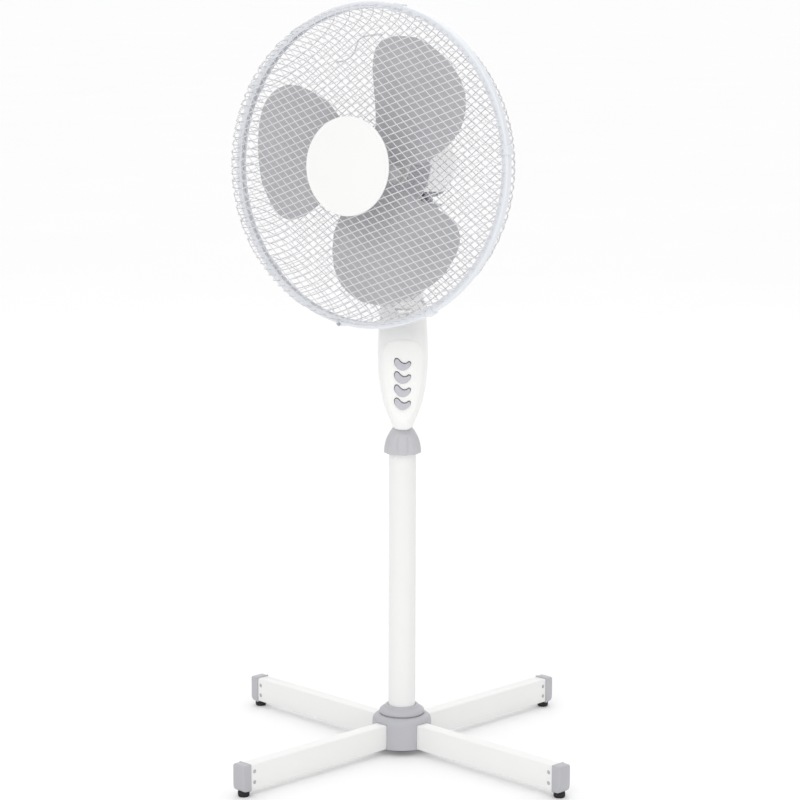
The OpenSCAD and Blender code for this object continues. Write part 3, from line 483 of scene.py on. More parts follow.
def joined(name, pieces):
    """Joins pieces into one mesh."""
    clear_selection()
    for piece in pieces:
        piece.select_set(True)
    bpy.context.view_layer.objects.active = pieces[0]
    bpy.ops.object.join()
    return new_piece(name)


def settle(piece, body, slot, *nodes, place=None, angle=35):
    """Places a finished piece, smooths it, gives it its finish and ties it to the frame."""
    if place:
        moved(piece, place)
    only(piece)
    bpy.ops.object.shade_smooth_by_angle(angle=math.radians(angle))
    piece.data.materials.clear()
    piece.data.materials.append(FINISHES[slot])
    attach(piece, body)
    if nodes:
        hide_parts(*nodes)
    return piece


# ---------- foot ----------

ARM_TURNS = {"cross_arm_lower": 45, "cross_arm_upper": -45}
TIP_TURNS = (45, 135, 225, 315)
ARM_HALF = 10            # half an arm's width
ARM_Z = (ARM_LOW.z, ARM_HIGH.z)
ARM_END = 297            # from the column's axis to where the tube ends inside its cap
CAP_END = 311
CAP_LIP = 1.3            # how far a cap's lip stands proud of the tube
FOOT_OUT = 301           # from the column's axis to a rubber foot's middle
HUB_R = HUB_HIGH.x
HUB_BORE = 20
COLLAR_BORE = 19.3
SLOT_GAP = 0.4           # air round an arm where it passes the hub


def at_each_tip(master, name, slot, node):
    """Sets copies of a piece at the arms' tips, the first of them in the CAD node's place."""
    for i, turn in enumerate(TIP_TURNS):
        piece = twin(master, f"{name}_{i + 1}")
        settle(turned(piece, turn), "base", slot, *([node] if i == 0 else []))
    bpy.data.objects.remove(master)


def build_arms():
    for name, turn in ARM_TURNS.items():
        tube = slab(name + "_tube", (-ARM_END, -ARM_HALF, ARM_Z[0]),
                    (ARM_END, ARM_HALF, ARM_Z[1]))
        soften(tube, 2.2)
        turned(tube, turn)
        settle(tube, "base", "white_tube", name)


def build_caps(edge):
    low, high = ARM_Z[0] - 1, ARM_Z[1] + 1
    # The outer lower edge is cut back in a long curve, as the cap's toe
    side = eased([(ARM_END, low, 0), (CAP_END, low, 9), (CAP_END, high, 3.5), (ARM_END, high, 0)])
    cap = prism("end_cap_1", side, -ARM_HALF - 1, ARM_HALF + 1)
    moved(cap, Matrix.Rotation(math.radians(90), 4, "X"))
    soften(cap, 2.4, 4, 50)
    lip = slab("cap_lip", (ARM_END - 0.6, -ARM_HALF - CAP_LIP, ARM_Z[0] - CAP_LIP),
               (ARM_END + 2, ARM_HALF + CAP_LIP, ARM_Z[1] + CAP_LIP))
    cap = joined("end_cap_1", [cap, soften(lip, edge, 2)])
    at_each_tip(cap, "arm_end_cap", "grey_plastic", "arm_end_caps")


def build_feet():
    foot = spun("foot", [(0, 0, 0), (7, 0, 1), (8, 2, 1), (8, 6.4, 1), (7.2, 8, 0.6), (7.2, 9, 0),
                         (0, 9, 0)], 40, closed=False)
    moved(foot, Matrix.Translation((FOOT_OUT * MM, 0, 0)))
    at_each_tip(foot, "rubber_foot", "rubber", "foot_pads")


def build_hub(edge):
    low, top = HUB_LOW.z, HUB_HIGH.z
    hub = spun("hub", [(HUB_BORE, low, 0), (HUB_R, low, 0.8), (HUB_R, top - 5, 7),
                       (33.5, top, 2), (HUB_BORE, top, 0)], 128)
    for turn in ARM_TURNS.values():
        slot = slab("arm_slot", (-60, -ARM_HALF - SLOT_GAP, low - 5),
                    (60, ARM_HALF + SLOT_GAP, ARM_Z[1] + SLOT_GAP))
        cut(hub, turned(slot, turn))
    soften(hub, edge, 2, 40)
    settle(hub, "base", "grey_plastic", "base_hub")
    low, top = COLLAR_LOW.z, COLLAR_HIGH.z
    collar = spun("collar", [
        (COLLAR_BORE, low - 0.4, 0), (30, low - 0.4, 0), (30, low + 1.4, 0.3),
        (32, low + 1.6, 0.6), (32, low + 5.6, 3), (27.5, top - 4.4, 1.2), (25, top - 3.4, 1),
        (23.5, top - 0.6, 1), (20.2, top, 0.5), (COLLAR_BORE, top - 1, 0)], 128)
    settle(collar, "base", "grey_plastic", "pole_collar")


# ---------- column ----------

NUT_SCALLOPS = 8
NUT_BORE = 19.5
NUT_TOP_R = 13.2
NUT_FLARE = 2.2          # the higher, the later the bell draws in
NUT_RINGS = 12
# Width in degrees and shrink of each pass that presses the scallops in, from wide to narrow
SCALLOP_PASSES = ((11, 0.982), (8, 0.982), (5, 0.985), (2.5, 0.99))
POLE_R = 19
POLE_BORE = 17.8
POLE_FOOT = 50           # height where the column ends inside the hub


def build_lock_nut():
    low, height = NUT_LOW.z, NUT_HIGH.z - NUT_LOW.z
    foot_r = NUT_HIGH.x
    outside = [(foot_r, low, 0.8)]
    for i in range(1, NUT_RINGS):
        t = i / (NUT_RINGS - 1)
        flare = 1 - t ** NUT_FLARE
        outside.append((NUT_TOP_R + (foot_r - NUT_TOP_R) * flare, low + height * t, 0))
    nut = spun("lock_nut_bell", [
        (NUT_BORE, low, 0), *outside, (11.6, low + height, 0), (12, low + 20, 0),
        (NUT_BORE, low + 13, 0)], 192)
    step = 360 / NUT_SCALLOPS
    for width, factor in SCALLOP_PASSES:
        def in_scallop(at, width=width):
            """Outer wall, near a scallop's middle. The scallops narrow and end upwards."""
            r = math.hypot(at.x, at.y) / MM
            angle = math.degrees(math.atan2(at.x, -at.y)) - step / 2
            off = abs((angle + step / 2) % step - step / 2)
            fade = 1 - (at.z / MM - low) / height
            return r > 20.2 and fade > 0.12 and off <= width * (0.35 + 0.65 * fade)
        resize(nut, in_scallop, (factor, factor, 1), (0, 0, 0))
    bpy.ops.object.mode_set(mode="OBJECT")
    settle(nut, "lock_nut", "light_grey_plastic", "lock_nut", angle=50)


def build_pole():
    top = POLE_HIGH.z
    pole = spun("column_tube", [(POLE_BORE, POLE_FOOT, 0), (POLE_R, POLE_FOOT, 0),
                                (POLE_R, top, 0.5), (POLE_BORE, top, 0.3)], 128)
    settle(pole, "base", "white_tube", "outer_pole")


# ---------- control housing ----------

BOX_Z, BOX_TOP = BOX_LOW.z, BOX_HIGH.z
SECTION_SIDES = 72
SQUARENESS = 2.7
# Height above the housing's foot, half width, depth in front and behind
SECTIONS = (
    (0.3, 12.2, 26, 15), (1.6, 13.8, 27.6, 17), (5, 15.6, 29, 20), (11, 18, 30.4, 23.4),
    (19, 21.4, 31.2, 26.4), (28, 24.9, 32.4, 28.4), (40, 28.4, 33.7, 29.6), (54, 31.3, 34, 30),
    (72, 33.6, 34, 30), (90, 34.8, 34, 30), (104, 35, 34, 30), (114, 34.9, 33.8, 29.8),
    (122, 34.6, 32.6, 29.2), (130, 34.2, 29.6, 28.2), (138, 33.8, 25.2, 26.8),
    (146, 33.2, 20.4, 24.8), (154, 32.6, 16.4, 23), (164, 31.8, 14, 21), (176, 30.8, 12.8, 18.8),
    (184, 29.4, 12.3, 17.6), (189, 26.6, 11.6, 16.6), (191.6, 22, 10, 14.6),
)
SLOT_HALF = 12           # half the width of the slot that the neck tilts in
BOLT_POCKET_R = 9
PANEL_RISE = 0.9
PANEL_HALF = 27.5
BELLY = 101              # height of the panel's widest place above the housing's foot


def squared(t):
    """A unit superellipse's point at angle t."""
    c, s = math.cos(t), math.sin(t)
    power = 2 / SQUARENESS
    return math.copysign(abs(c) ** power, c), math.copysign(abs(s) ** power, s)


def housing_form(name):
    """The housing's outside, lofted from the bottom section to the top one."""
    rise, half, front, back = SECTIONS[0]
    outline = [squared(math.tau * i / SECTION_SIDES) for i in range(SECTION_SIDES)]
    outline = [(x * half, y * (back if y > 0 else front)) for x, y in outline]
    form = polyline(name, [(x, y, BOX_Z + rise) for x, y in outline])
    bpy.ops.mesh.select_all(action="SELECT")
    bpy.ops.mesh.edge_face_add()
    last = SECTIONS[0]
    for section in SECTIONS[1:]:
        z = (BOX_Z + section[0]) * MM
        bpy.ops.mesh.extrude_region_move(
            TRANSFORM_OT_translate={"value": (0, 0, (section[0] - last[0]) * MM)})
        wide, deep, rear = (section[k] / last[k] for k in (1, 2, 3))
        bpy.ops.transform.resize(value=(wide, 1, 1), center_override=(0, 0, z))
        for side, factor in ((-1, deep), (1, rear)):
            resize(form, lambda at: at.y * side > 1e-7 and abs(at.z - z) < 1e-6,
                   (1, factor, 1), (0, 0, z))
        pick(form, lambda at: abs(at.z - z) < 1e-6)
        last = section
    close_up()
    return form


def half_of(form, name, side):
    """The part of the housing in front of or behind its parting line, closed."""
    piece = twin(form, name)
    bpy.ops.object.mode_set(mode="EDIT")
    bpy.ops.mesh.select_all(action="SELECT")
    bpy.ops.mesh.bisect(plane_co=(0, 0.15 * MM * side, 0), plane_no=(0, side, 0), use_fill=True,
                        clear_inner=True)
    bpy.ops.mesh.select_all(action="SELECT")
    bpy.ops.mesh.normals_make_consistent(inside=False)
    bpy.ops.object.mode_set(mode="OBJECT")
    return piece


# Crescent key, seen from the front, its left horn the taller
KEY = ((-9.6, 8.6, 1.3), (-6.2, 7.6, 1.2), (-3.0, 3.4, 3), (1.6, 1.0, 3), (5.8, 1.9, 2),
       (8.2, 4.2, 0.8), (10.9, 3.0, 1.2), (10.4, -0.6, 2), (6.6, -5.6, 4), (0.2, -8.5, 6),
       (-6.6, -6.2, 4), (-11.2, 0.2, 4), (-11.4, 5.6, 2))
KEY_NODES = ("button_off", "button_low", "button_medium", "button_high")
KEY_DEPTH = 11
KEY_LIFT = 0.7           # the outline's middle above the CAD button's
KEY_GAP = 0.7
HOLE_LIFT = 0.5          # a hole's middle above its key's


def key_outline(grow, lift=0.0):
    """The key's outline, grown evenly by grow mm and raised by lift mm."""
    points = eased(KEY, steps=3)
    grown = []
    for i, point in enumerate(points):
        along = points[(i + 1) % len(points)] - points[i - 1]
        inwards = Vector((along.y, -along.x)).normalized()
        grown.append(point - inwards * grow)
    return [(p.x, p.y + lift) for p in grown]


def facing_front(piece, y):
    """Turns a piece made in X and Y so that its Y is up and its Z forward, from y mm."""
    return moved(piece, Matrix.Translation((0, y * MM, 0)) @ Matrix.Rotation(math.pi / 2, 4, "X"))


def key_heights():
    """Heights of the CAD buttons' middles in mm."""
    return [sum(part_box(node)[k].z for k in (0, 1)) / 2 / MM for node in KEY_NODES]


def cut_key_holes(piece):
    for height in key_heights():
        tool = prism("key_hole", key_outline(KEY_GAP, HOLE_LIFT), 0, 40)
        facing_front(tool, -20)
        cut(piece, moved(tool, Matrix.Translation((0, 0, (height + KEY_LIFT) * MM))))


def build_housing():
    form = housing_form("housing_form")
    front = half_of(form, "housing_front", -1)
    rear = half_of(form, "housing_rear", 1)
    pin = TILT_PIN.z / MM
    for piece in (front, rear):
        slot = slab("neck_slot", (-SLOT_HALF, -60, pin - 18), (SLOT_HALF, 60, BOX_TOP + 9))
        cut(piece, soften(slot, 3, 4))
    for side in (-1, 1):
        for piece in (front, rear):
            cut(piece, rod("bolt_pocket", BOLT_POCKET_R, (side * 20, 0, pin),
                           (side * 60, 0, pin), 48))
    panel = panel_piece(form)
    cut_key_holes(front)
    cut_key_holes(panel)
    bpy.data.objects.remove(form)
    soften(front, 0.5, 2, 50)
    soften(rear, 0.5, 2, 50)
    settle(front, "control", "white_plastic", "control_front_cover")
    settle(rear, "control", "white_plastic", "control_rear_cover")
    soften(panel, 0.4, 2, 50)
    settle(panel, "control", "panel_plastic", "control_panel")


def panel_piece(form):
    """The raised panel: the housing's front, grown a little and trimmed to its outline."""
    skin = twin(form, "control_panel_face")
    bpy.ops.object.mode_set(mode="EDIT")
    bpy.ops.mesh.select_all(action="SELECT")
    bpy.ops.transform.shrink_fatten(value=PANEL_RISE * MM)
    bpy.ops.object.mode_set(mode="OBJECT")
    outline = []
    for i in range(33):
        t = math.pi + math.pi * i / 32
        outline.append((PANEL_HALF * math.cos(t), BELLY + (BELLY - 9) * math.sin(t)))
    top = BELLY + 25
    outline += [(p.x, p.y) for p in eased(
        [(27.4, BELLY + 1, 0), (26.8, top - 3, 16), (0, top + 3, 18), (-26.8, top - 3, 16),
         (-27.4, BELLY + 1, 0)], closed=False, steps=8)]
    tool = prism("panel_outline", outline, 0, 60)
    facing_front(tool, -8)
    moved(tool, Matrix.Translation((0, 0, BOX_Z * MM)))
    return cut(skin, tool, "INTERSECT")


def build_keys():
    for i, (node, height) in enumerate(zip(KEY_NODES, key_heights())):
        low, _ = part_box(node)
        key = prism(f"key_{i + 1}", key_outline(0), 0, KEY_DEPTH)
        pick(key, lambda at: at.z > (KEY_DEPTH - 0.1) * MM)
        bpy.ops.mesh.bevel(offset=1.1 * MM, segments=3)
        bpy.ops.object.mode_set(mode="OBJECT")
        facing_front(key, low.y / MM + KEY_DEPTH)
        moved(key, Matrix.Translation((0, 0, (height + KEY_LIFT) * MM)))
        settle(key, node, "button_grey", node, angle=50)


# ---------- head ----------

COVER_R = 49
COVER_BACK = 78          # from the swivel's axis to the cover's back
COVER_DOME = 16
COVER_WALL = 2
VENT_PITCH = 8
KNOB_X, KNOB_Y = -12, 46
KNOB_LOW = 49.6          # the knob's underside above the fan's axis


def build_motor_cover():
    back, inner_r, dome_r = COVER_BACK, COVER_R - COVER_WALL, COVER_R - COVER_DOME
    cover = spun("motor_cover_shell", [
        (inner_r, -0.4, 0.4), (COVER_R, -0.4, 0.4), (COVER_R, COVER_DOME - back, 12),
        (dome_r, -back, 9), (0, -back, 0), (0, COVER_WALL - back, 0),
        (dome_r - 1, COVER_WALL - back, 8), (inner_r, COVER_DOME - back + 1, 10)], 128)
    # Made about Z with its back down, then laid along the fan's axis
    moved(cover, Matrix.Rotation(math.radians(90), 4, "X"))
    notch = slab("neck_notch", (-34, -5, -98), (34, back - 14, -35))
    cut(cover, soften(notch, 4, 4))
    cut(cover, rod("rod_hole", 4.5, (KNOB_X, KNOB_Y, 20), (KNOB_X, KNOB_Y, 80)))
    for k in range(-3, 4):
        x = k * VENT_PITCH
        slot = slab("vent", (x - 1.5, back - 8, -18), (x + 1.5, back + 8, 18))
        cut(cover, soften(slot, 1.4, 3))
    soften(cover, 0.4, 2, 50)
    settle(cover, "motor_head", "white_plastic", "motor_cover", place=HEAD)


def build_knob():
    low = KNOB_LOW
    knob = spun("swing_knob", [
        (0, low - 34, 0), (2, low - 34, 0), (2, low, 0), (6.6, low, 0.6), (7.6, low + 3, 1),
        (6.4, low + 9, 3), (7.4, low + 14, 2), (6.2, low + 18, 2.4), (0, low + 18, 0)],
        48, closed=False)
    moved(knob, Matrix.Translation((KNOB_X * MM, KNOB_Y * MM, 0)))
    settle(knob, "clutch_knob", "white_plastic", "clutch_knob", place=HEAD)


# ---------- guard ----------

RIM_R = 216              # radius of the guard's two rim hoops
RIM_HALF = 2.2           # from the rim's plane to each hoop
BADGE_R = 67
BADGE_BACK = 52.2
FRONT_ANGLES = (18.9, -44.2)
REAR_ANGLES = (36, -36)
REAR_HOLE = 58           # radius inside which the rear mesh has no wires
WELD = 0.45              # how far each family stands off the net's middle, in wire thicknesses
WIRE_STEP = 1.6          # length of a wire's pieces before it is thinned, about
WIRE_SLACK = 0.12        # how far a thinned wire may leave its path
BAND_SCREW = 258         # angles on the rim in degrees, seen from the front
CLIP_ANGLES = (77, 6, 150, 222, 297)
FRONT_DISH = eased([(RIM_R, RIM_HALF, 0), (RIM_R - 2.5, 28, 12), (RIM_R - 17, 40.6, 12),
                    (64, 50, 30), (0, 51, 0)], closed=False, steps=8)
REAR_DISH = eased([(RIM_R, RIM_HALF, 0), (RIM_R - 4, 28.5, 14), (RIM_R - 18, 49, 14),
                   (30, 62, 0), (0, 62, 0)], closed=False, steps=8)


def dish_height(dish, r):
    """Distance from the rim's plane at a radius, on a dish's line from rim to middle."""
    for outer, inner in zip(dish, dish[1:]):
        if inner.x <= r <= outer.x:
            t = (outer.x - r) / max(outer.x - inner.x, 1e-9)
            return outer.y + (inner.y - outer.y) * t
    return dish[0].y if r > dish[0].x else dish[-1].y


def thinned(points, slack):
    """Leaves out points of a path that lie closer than slack to the line past them."""
    if len(points) < 3:
        return points
    start, end = points[0], points[-1]
    along = (end - start).normalized()
    off = [((p - start) - along * (p - start).dot(along)).length for p in points]
    worst = max(range(len(points)), key=off.__getitem__)
    if off[worst] <= slack:
        return [start, end]
    return thinned(points[:worst + 1], slack)[:-1] + thinned(points[worst:], slack)


def net_paths(dish, angle, pitch, level, inner_r, side):
    """The wires of one family: parallel seen from the front, bent over the dish."""
    turn = math.radians(angle)
    along = Vector((math.cos(turn), math.sin(turn)))
    across = Vector((-along.y, along.x))
    count = int((RIM_R - 6) / pitch)
    for k in range(-count, count + 1):
        offset = k * pitch
        reach = math.sqrt(RIM_R ** 2 - offset ** 2)
        steps = max(8, int(2 * reach / WIRE_STEP))
        run = []
        for i in range(steps + 1):
            s = reach * math.sin(math.pi * (i / steps - 0.5))
            flat = across * offset + along * s
            r = min(flat.length, RIM_R)
            if r < inner_r:
                if len(run) > 1:
                    yield thinned(run, WIRE_SLACK)
                run = []
                continue
            run.append(Vector((flat.x, flat.y, side * (dish_height(dish, r) + level))))
        if len(run) > 1:
            yield thinned(run, WIRE_SLACK)


def wire_net(name, dish, families, wire, inner_r, side):
    """A guard's mesh of welded wires, each family an angle, a spacing and a level."""
    clear_selection()
    lines = bpy.data.curves.new(name, "CURVE")
    lines.dimensions = "3D"
    lines.bevel_depth = wire / 2
    lines.bevel_resolution = 1
    lines.use_fill_caps = True
    for angle, pitch, level in families:
        for path in net_paths(dish, angle, pitch, level, inner_r, side):
            spline = lines.splines.new("POLY")
            spline.points.add(len(path) - 1)
            for point, place in zip(spline.points, path):
                point.co = (*(place * MM), 1)
    net = bpy.data.objects.new(name, lines)
    bpy.context.scene.collection.objects.link(net)
    only(net)
    bpy.ops.object.convert(target="MESH")
    return new_piece(name)


def hoop(radius, height, wire, steps=180):
    """A ring of round wire, whose thickness is in metres."""
    clear_selection()
    bpy.ops.mesh.primitive_torus_add(
        major_radius=radius * MM, minor_radius=wire / 2, major_segments=steps, minor_segments=10,
        location=(0, 0, height * MM))
    piece = new_piece("hoop")
    bpy.ops.object.transform_apply(location=True, rotation=True, scale=True)
    return piece


# Path of the bent wire behind the net, by which the rear half hangs
HANGER_Z = -51
HANGER = ((-91, 142), (-83, 142), (-74, 144), (-66, 148), (-60, 154), (-56, 163), (-53, 171),
          (-46, 175), (-36, 177), (-25, 178), (-14, 178))


def build_guard(sizes):
    weld = sizes.mesh_wire / MM * WELD
    front = wire_net("front_net", FRONT_DISH, [
        (FRONT_ANGLES[0], sizes.front_pitch / MM, weld),
        (FRONT_ANGLES[1], sizes.cross_pitch / MM, -weld)], sizes.mesh_wire, 0, 1)
    front = joined("front_mesh_guard", [front, hoop(RIM_R, RIM_HALF, sizes.rim_wire)])
    settle(front, "motor_head", "white_wire", "front_grille", place=GUARD, angle=60)
    pitch = sizes.rear_pitch / MM
    rear = wire_net("rear_net", REAR_DISH, [
        (REAR_ANGLES[0], pitch, weld), (REAR_ANGLES[1], pitch, -weld)],
        sizes.mesh_wire, REAR_HOLE, -1)
    plate = spun("rear_plate", [
        (22.4, -61.8, 0.4), (60, -61.8, 1), (60, -58.2, 1), (56, -58.8, 0.5),
        (34, -58.8, 1), (31, -58.2, 0.5), (22.4, -58.2, 0.4)])
    hanger = [rod("hanger", 1.1, (*start, HANGER_Z), (*end, HANGER_Z), 12)
              for start, end in zip(HANGER, HANGER[1:])]
    rear = joined("rear_mesh_guard", [
        rear, plate, hoop(RIM_R, -RIM_HALF, sizes.rim_wire), *hanger])
    settle(rear, "motor_head", "white_wire", "rear_grille", place=GUARD, angle=60)


def at_rim(piece, angle):
    """Takes a piece made with X outwards from the rim to its angle on the rim."""
    place = Matrix.Rotation(math.radians(angle), 4, "Z") @ Matrix.Translation((RIM_R * MM, 0, 0))
    return moved(piece, place)


def build_band():
    r, half, wall = RIM_R, 6.0, 1.5
    # A channel whose open side faces the fan's axis, with a groove round its outside
    band = spun("rim_band_profile", [
        (r - 4.6, half, 0.8), (r + 3.2, half, 1.6), (r + 4.5, half - 1.8, 0.5),
        (r + 4.5, 0.7, 0.3), (r + 4.0, 0.4, 0.1), (r + 4.0, -0.4, 0.1), (r + 4.5, -0.7, 0.3),
        (r + 4.5, 1.8 - half, 0.5), (r + 3.2, -half, 1.6), (r - 4.6, -half, 0.8),
        (r - 4.6, wall - half, 0.4), (r + 2.4, wall - half, 0.6), (r + 2.4, half - wall, 0.6),
        (r - 4.6, half - wall, 0.4)], 240)
    boss = slab("screw_boss", (-3.4, -6, -6), (6.6, 6, 6))
    boss = at_rim(soften(boss, 1.4, 3), BAND_SCREW)
    band = joined("rim_band_soft", [band, boss])
    settle(band, "motor_head", "band_plastic", "rim_band", place=GUARD)
    for i, angle in enumerate(CLIP_ANGLES):
        body = slab("clip_body", (-5.5, -6.5, -7.6), (6.4, 6.5, 7.6))
        soften(body, 1.6, 3)
        cut(body, slab("clip_mouth", (-8, -9, -5.6), (3, 9, 5.6)))
        tab = slab("clip_tab", (-5.5, -3, 6.4), (-1.5, 3, 9.2))
        clip = joined(f"rim_clip_{i + 1}", [body, soften(tab, 0.8, 2)])
        at_rim(clip, angle)
        settle(clip, "motor_head", "band_plastic", *(["rim_clips"] if i == 0 else []),
               place=GUARD)


def build_badge():
    low, r = BADGE_BACK, BADGE_R
    badge = spun("badge_dome", [
        (0, low, 0), (r - 1, low, 0.6), (r, low + 1.6, 1), (r - 1.4, low + 3.2, 1),
        (r - 3.6, low + 3.3, 0.5), (r - 4.4, low + 2.9, 0.4), (44, low + 4.7, 16),
        (0, low + 6.2, 0)], 128, closed=False)
    settle(badge, "motor_head", "white_plastic", "centre_badge", place=GUARD)


# ---------- propeller ----------

BLADE_TURNS = (63.5, 183.5, 303.5)
BLADE_MID = -4           # the blades' middle plane, in front of the rim's plane
ROOT_R = 34
BLADE_ROUND = 0.9
# Angle of a blade's two long edges at each radius, and its tip's radius from edge to edge
HIGH_EDGE = ((34, 21), (62, 22.5), (80, 24.8), (106, 27), (132, 27.8), (156, 26), (169, 22.3),
             (179, 15), (185, 5))
LOW_EDGE = ((34, -62), (62, -63.5), (98, -61), (120, -56.5), (141, -52), (161, -46.8),
            (176, -40.3), (185, -33))
TIP_EDGE = ((0, 185), (0.14, 187.8), (0.3, 188.4), (0.5, 187.6), (0.75, 186.4), (1, 185))
# Pitch in degrees at each radius, and the radius of the hollow across a blade
PITCH_TURN = ((34, 14), (70, 13), (110, 10.5), (184, 6))
CAMBER_R = 786


def looked_up(table, x):
    """A smooth value between the rows (x, value) of a table."""
    x = min(max(x, table[0][0]), table[-1][0])
    for (x0, y0), (x1, y1) in zip(table, table[1:]):
        if x0 <= x <= x1:
            t = (x - x0) / max(x1 - x0, 1e-9)
            ease = t * t * (3 - 2 * t)
            return y0 + (y1 - y0) * (0.5 * t + 0.5 * ease)
    return table[-1][1]


def blade_point(along, across):
    """A point of a blade's middle sheet: along 0 to 1 from root to tip, across -1 to 1."""
    share = (across + 1) / 2
    r = ROOT_R + (looked_up(TIP_EDGE, share) - ROOT_R) * along
    low, high = looked_up(LOW_EDGE, r), looked_up(HIGH_EDGE, r)
    angle = math.radians(low + (high - low) * share)
    u, v = r * math.cos(angle), r * math.sin(angle)
    pitch = math.radians(looked_up(PITCH_TURN, r))
    height = BLADE_MID - v * math.tan(pitch) + v * v / 2 / CAMBER_R
    return Vector((u, v, height)) * MM


def build_propeller(sizes):
    clear_selection()
    bpy.ops.mesh.primitive_grid_add(x_subdivisions=22, y_subdivisions=26, size=2)
    blade = new_piece("blade_master")
    for vertex in blade.data.vertices:
        vertex.co = blade_point((vertex.co.x + 1) / 2, vertex.co.y)
    apply(blade, "SOLIDIFY", thickness=sizes.blade_wall, offset=0)
    soften(blade, BLADE_ROUND, 2, 50)
    apply(blade, "SUBSURF", levels=1, render_levels=1)
    for i, turn in enumerate(BLADE_TURNS):
        piece = twin(blade, f"propeller_blade_{i + 1}")
        settle(turned(piece, turn), "rotor", "blade_grey", place=GUARD, angle=50)
    bpy.data.objects.remove(blade)
    hub = spun("propeller_hub", [
        (35.6, -20, 0.3), (38, -20, 0.6), (38, 2, 4), (33, 6, 2), (26, 6, 1), (24, 5, 1),
        (4.1, 5, 0), (4.1, -20, 0), (9, -20, 0.5), (9, 2.6, 1), (35.6, 2.6, 1)], 96)
    settle(hub, "rotor", "blade_grey", "fan_blade", place=GUARD)
    nut = spun("spinner_bell", [
        (0, 28.2, 0), (9.5, 28.2, 2), (11, 26.6, 2), (15, 11, 4), (17, 6.2, 0.5), (0, 6.2, 0)],
        64, closed=False)
    settle(nut, "rotor", "blade_grey", "spinner_nut", place=GUARD)


# ---------- stage ----------

FLOOR_SIZE = 300
SCREEN_GLOW, SIDE_GLOW = 1.16, 0.62      # strength of the white screens and of the dark sides
SIDE_START, SIDE_END = 0.3, 0.95         # where the glow falls, from 0 ahead to 1 at the side
# Name, place, size and watts of each lamp
LAMPS = (("key", (-1.2, -3.2, 3.4), 1.6, 16), ("back", (0.5, 3.0, 3.0), 3.0, 6))
LAMP_AIM = Vector((0, 0, 0.6))
EYE = (0, -3.550, 1.1283)
# The last two turns are a roll of 0.17 degrees about the line of sight
EYE_TURNS = (90 - 9.95, -0.167, 0.029)


def build_floor():
    bpy.ops.mesh.primitive_plane_add(size=FLOOR_SIZE)
    floor = new_piece("studio_floor")
    # Matt white paint on a floor that has no end, with broad faint patches
    finish, tree, shader, place = new_finish("matt_studio_floor")
    tree.links.new(tint(tree, place, linear("#FCFCFC"), 900, 0.01), shader.inputs["Base Color"])
    shader.inputs["Roughness"].default_value = 0.9
    floor.data.materials.append(finish)
    floor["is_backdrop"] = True


def build_world():
    """White screens before, behind and above, and a darker room to the left and right."""
    world = bpy.data.worlds.new("studio_white")
    world.use_nodes = True
    tree = world.node_tree
    sky = tree.nodes["Background"]
    sky.inputs["Color"].default_value = (1, 1, 1, 1)
    across = add_node(tree, "ShaderNodeSeparateXYZ", {
        "Vector": add_node(tree, "ShaderNodeTexCoord").outputs["Object"]})
    aside = add_node(tree, "ShaderNodeMath", {0: across.outputs["X"]}, operation="ABSOLUTE")
    glow = add_node(tree, "ShaderNodeMapRange", {
        "Value": aside.outputs["Value"], "From Min": SIDE_START, "From Max": SIDE_END,
        "To Min": SCREEN_GLOW, "To Max": SIDE_GLOW})
    # The dark sides light the fan but are never seen as a backdrop
    backdrop = add_node(tree, "ShaderNodeMath", {
        0: add_node(tree, "ShaderNodeLightPath").outputs["Is Camera Ray"],
        1: SCREEN_GLOW}, operation="MULTIPLY")
    brighter = add_node(tree, "ShaderNodeMath", {
        0: glow.outputs["Result"], 1: backdrop.outputs["Value"]}, operation="MAXIMUM")
    tree.links.new(brighter.outputs["Value"], sky.inputs["Strength"])
    bpy.context.scene.world = world


def build_lamps():
    for name, at, size, watts in LAMPS:
        clear_selection()
        bpy.ops.object.light_add(type="AREA", location=at)
        lamp = bpy.context.object
        lamp.name = lamp.data.name = "light_" + name
        lamp.data.size, lamp.data.energy = size, watts
        aim = LAMP_AIM - Vector(at)
        lamp.rotation_euler = aim.to_track_quat("-Z", "Y").to_euler()


def build_camera():
    bpy.ops.object.camera_add(
        location=EYE, rotation=[math.radians(turn) for turn in EYE_TURNS])
    camera = bpy.context.object
    camera.name = camera.data.name = "view_camera"
    camera.data.sensor_width = 36
    camera.data.lens = 116.16
    camera.data.shift_x = -0.0034
    camera.data.clip_end = 100
    bpy.context.scene.camera = camera


# ---------- operators ----------

def soft_edge(context):
    """The panel's rounding of moulded edges in mm."""
    return context.scene.fan_sizes.soft_edge / MM


class FAN_OT_finishes(bpy.types.Operator):
    """Makes every finish and gives the CAD pieces theirs"""
    bl_idname = "fan.finishes"
    bl_label = "Finishes"

    def execute(self, context):
        FINISHES.update(make_finishes(context.scene.fan_colours))
        for node in frame["nodes"].values():
            for slot in node.material_slots:
                slot.material = FINISHES[slot.material.name.split(".")[0]]
        return {"FINISHED"}


class FAN_OT_foot(bpy.types.Operator):
    """Builds the crossed arms, their caps and feet, and the hub"""
    bl_idname = "fan.foot"
    bl_label = "Foot"

    def execute(self, context):
        build_arms()
        build_caps(soft_edge(context))
        build_feet()
        build_hub(soft_edge(context))
        return {"FINISHED"}


class FAN_OT_column(bpy.types.Operator):
    """Builds the column and its lock nut"""
    bl_idname = "fan.column"
    bl_label = "Column"

    def execute(self, context):
        build_pole()
        build_lock_nut()
        return {"FINISHED"}


class FAN_OT_housing(bpy.types.Operator):
    """Builds the control housing, its panel and keys"""
    bl_idname = "fan.housing"
    bl_label = "Control Housing"

    def execute(self, context):
        build_housing()
        build_keys()
        return {"FINISHED"}


class FAN_OT_head(bpy.types.Operator):
    """Builds the motor's cover and the swing knob"""
    bl_idname = "fan.head"
    bl_label = "Head"

    def execute(self, context):
        build_motor_cover()
        build_knob()
        return {"FINISHED"}


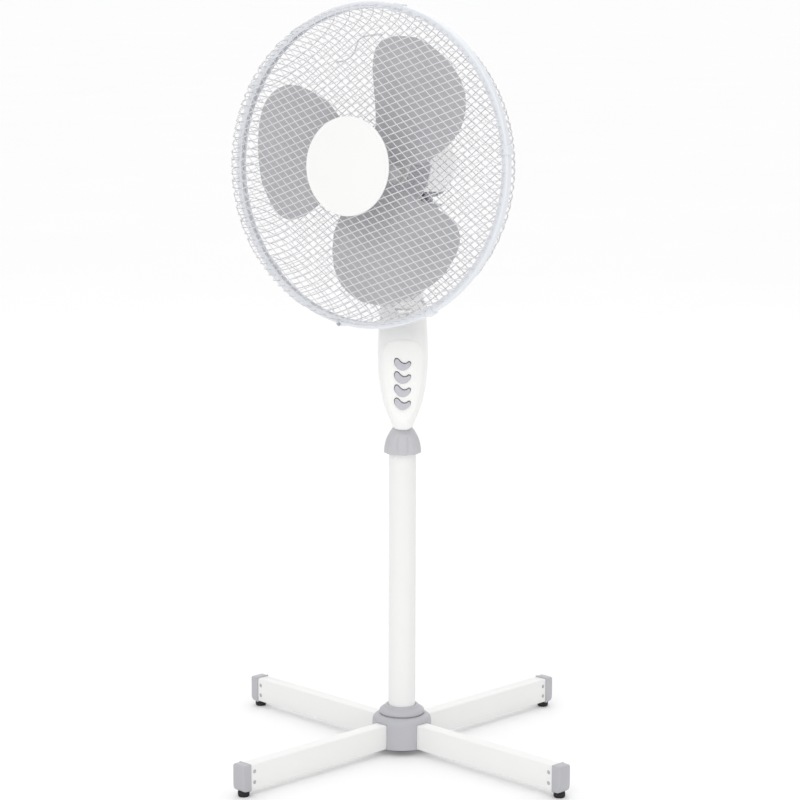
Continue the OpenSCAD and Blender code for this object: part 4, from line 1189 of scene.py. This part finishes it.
class FAN_OT_guard(bpy.types.Operator):
    """Builds both mesh guards, the rim band with its clips, and the badge"""
    bl_idname = "fan.guard"
    bl_label = "Guard"

    def execute(self, context):
        build_guard(context.scene.fan_sizes)
        build_band()
        build_badge()
        return {"FINISHED"}


class FAN_OT_propeller(bpy.types.Operator):
    """Builds the three blades, their hub and the spinner"""
    bl_idname = "fan.propeller"
    bl_label = "Propeller"

    def execute(self, context):
        build_propeller(context.scene.fan_sizes)
        return {"FINISHED"}


class FAN_OT_stage(bpy.types.Operator):
    """Sets up the floor, the lights and the camera"""
    bl_idname = "fan.stage"
    bl_label = "Stage"

    def execute(self, context):
        clear_selection()
        build_floor()
        build_world()
        build_lamps()
        context.scene.view_settings.view_transform = "Standard"
        build_camera()
        return {"FINISHED"}


class FAN_PT_panel(bpy.types.Panel):
    """Lists the steps that build the fan"""
    bl_idname = "FAN_PT_panel"
    bl_label = "Pedestal Fan"
    bl_space_type = "VIEW_3D"
    bl_region_type = "UI"
    bl_category = "Fan"

    def draw(self, context):
        for group in (context.scene.fan_sizes, context.scene.fan_colours):
            for name in group.__annotations__:
                self.layout.prop(group, name)
        for step in STEPS:
            self.layout.operator(step.bl_idname)


STEPS = (FAN_OT_finishes, FAN_OT_foot, FAN_OT_column, FAN_OT_housing, FAN_OT_head,
         FAN_OT_guard, FAN_OT_propeller, FAN_OT_stage)
CLASSES = (FanSizes, FanColours, *STEPS, FAN_PT_panel)


def register():
    for kind in CLASSES:
        bpy.utils.register_class(kind)
    bpy.types.Scene.fan_sizes = bpy.props.PointerProperty(type=FanSizes)
    bpy.types.Scene.fan_colours = bpy.props.PointerProperty(type=FanColours)


def unregister():
    del bpy.types.Scene.fan_sizes
    del bpy.types.Scene.fan_colours
    for kind in reversed(CLASSES):
        bpy.utils.unregister_class(kind)


def main():
    register()
    clear_selection()
    for step in STEPS:
        group, name = step.bl_idname.split(".")
        getattr(getattr(bpy.ops, group), name)()
    boxes = {"cad": CAD_BOX, "visual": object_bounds()}
    {name: [list(low), list(high)] for name, (low, high) in boxes.items()}


if __name__ == "__main__":
    main()
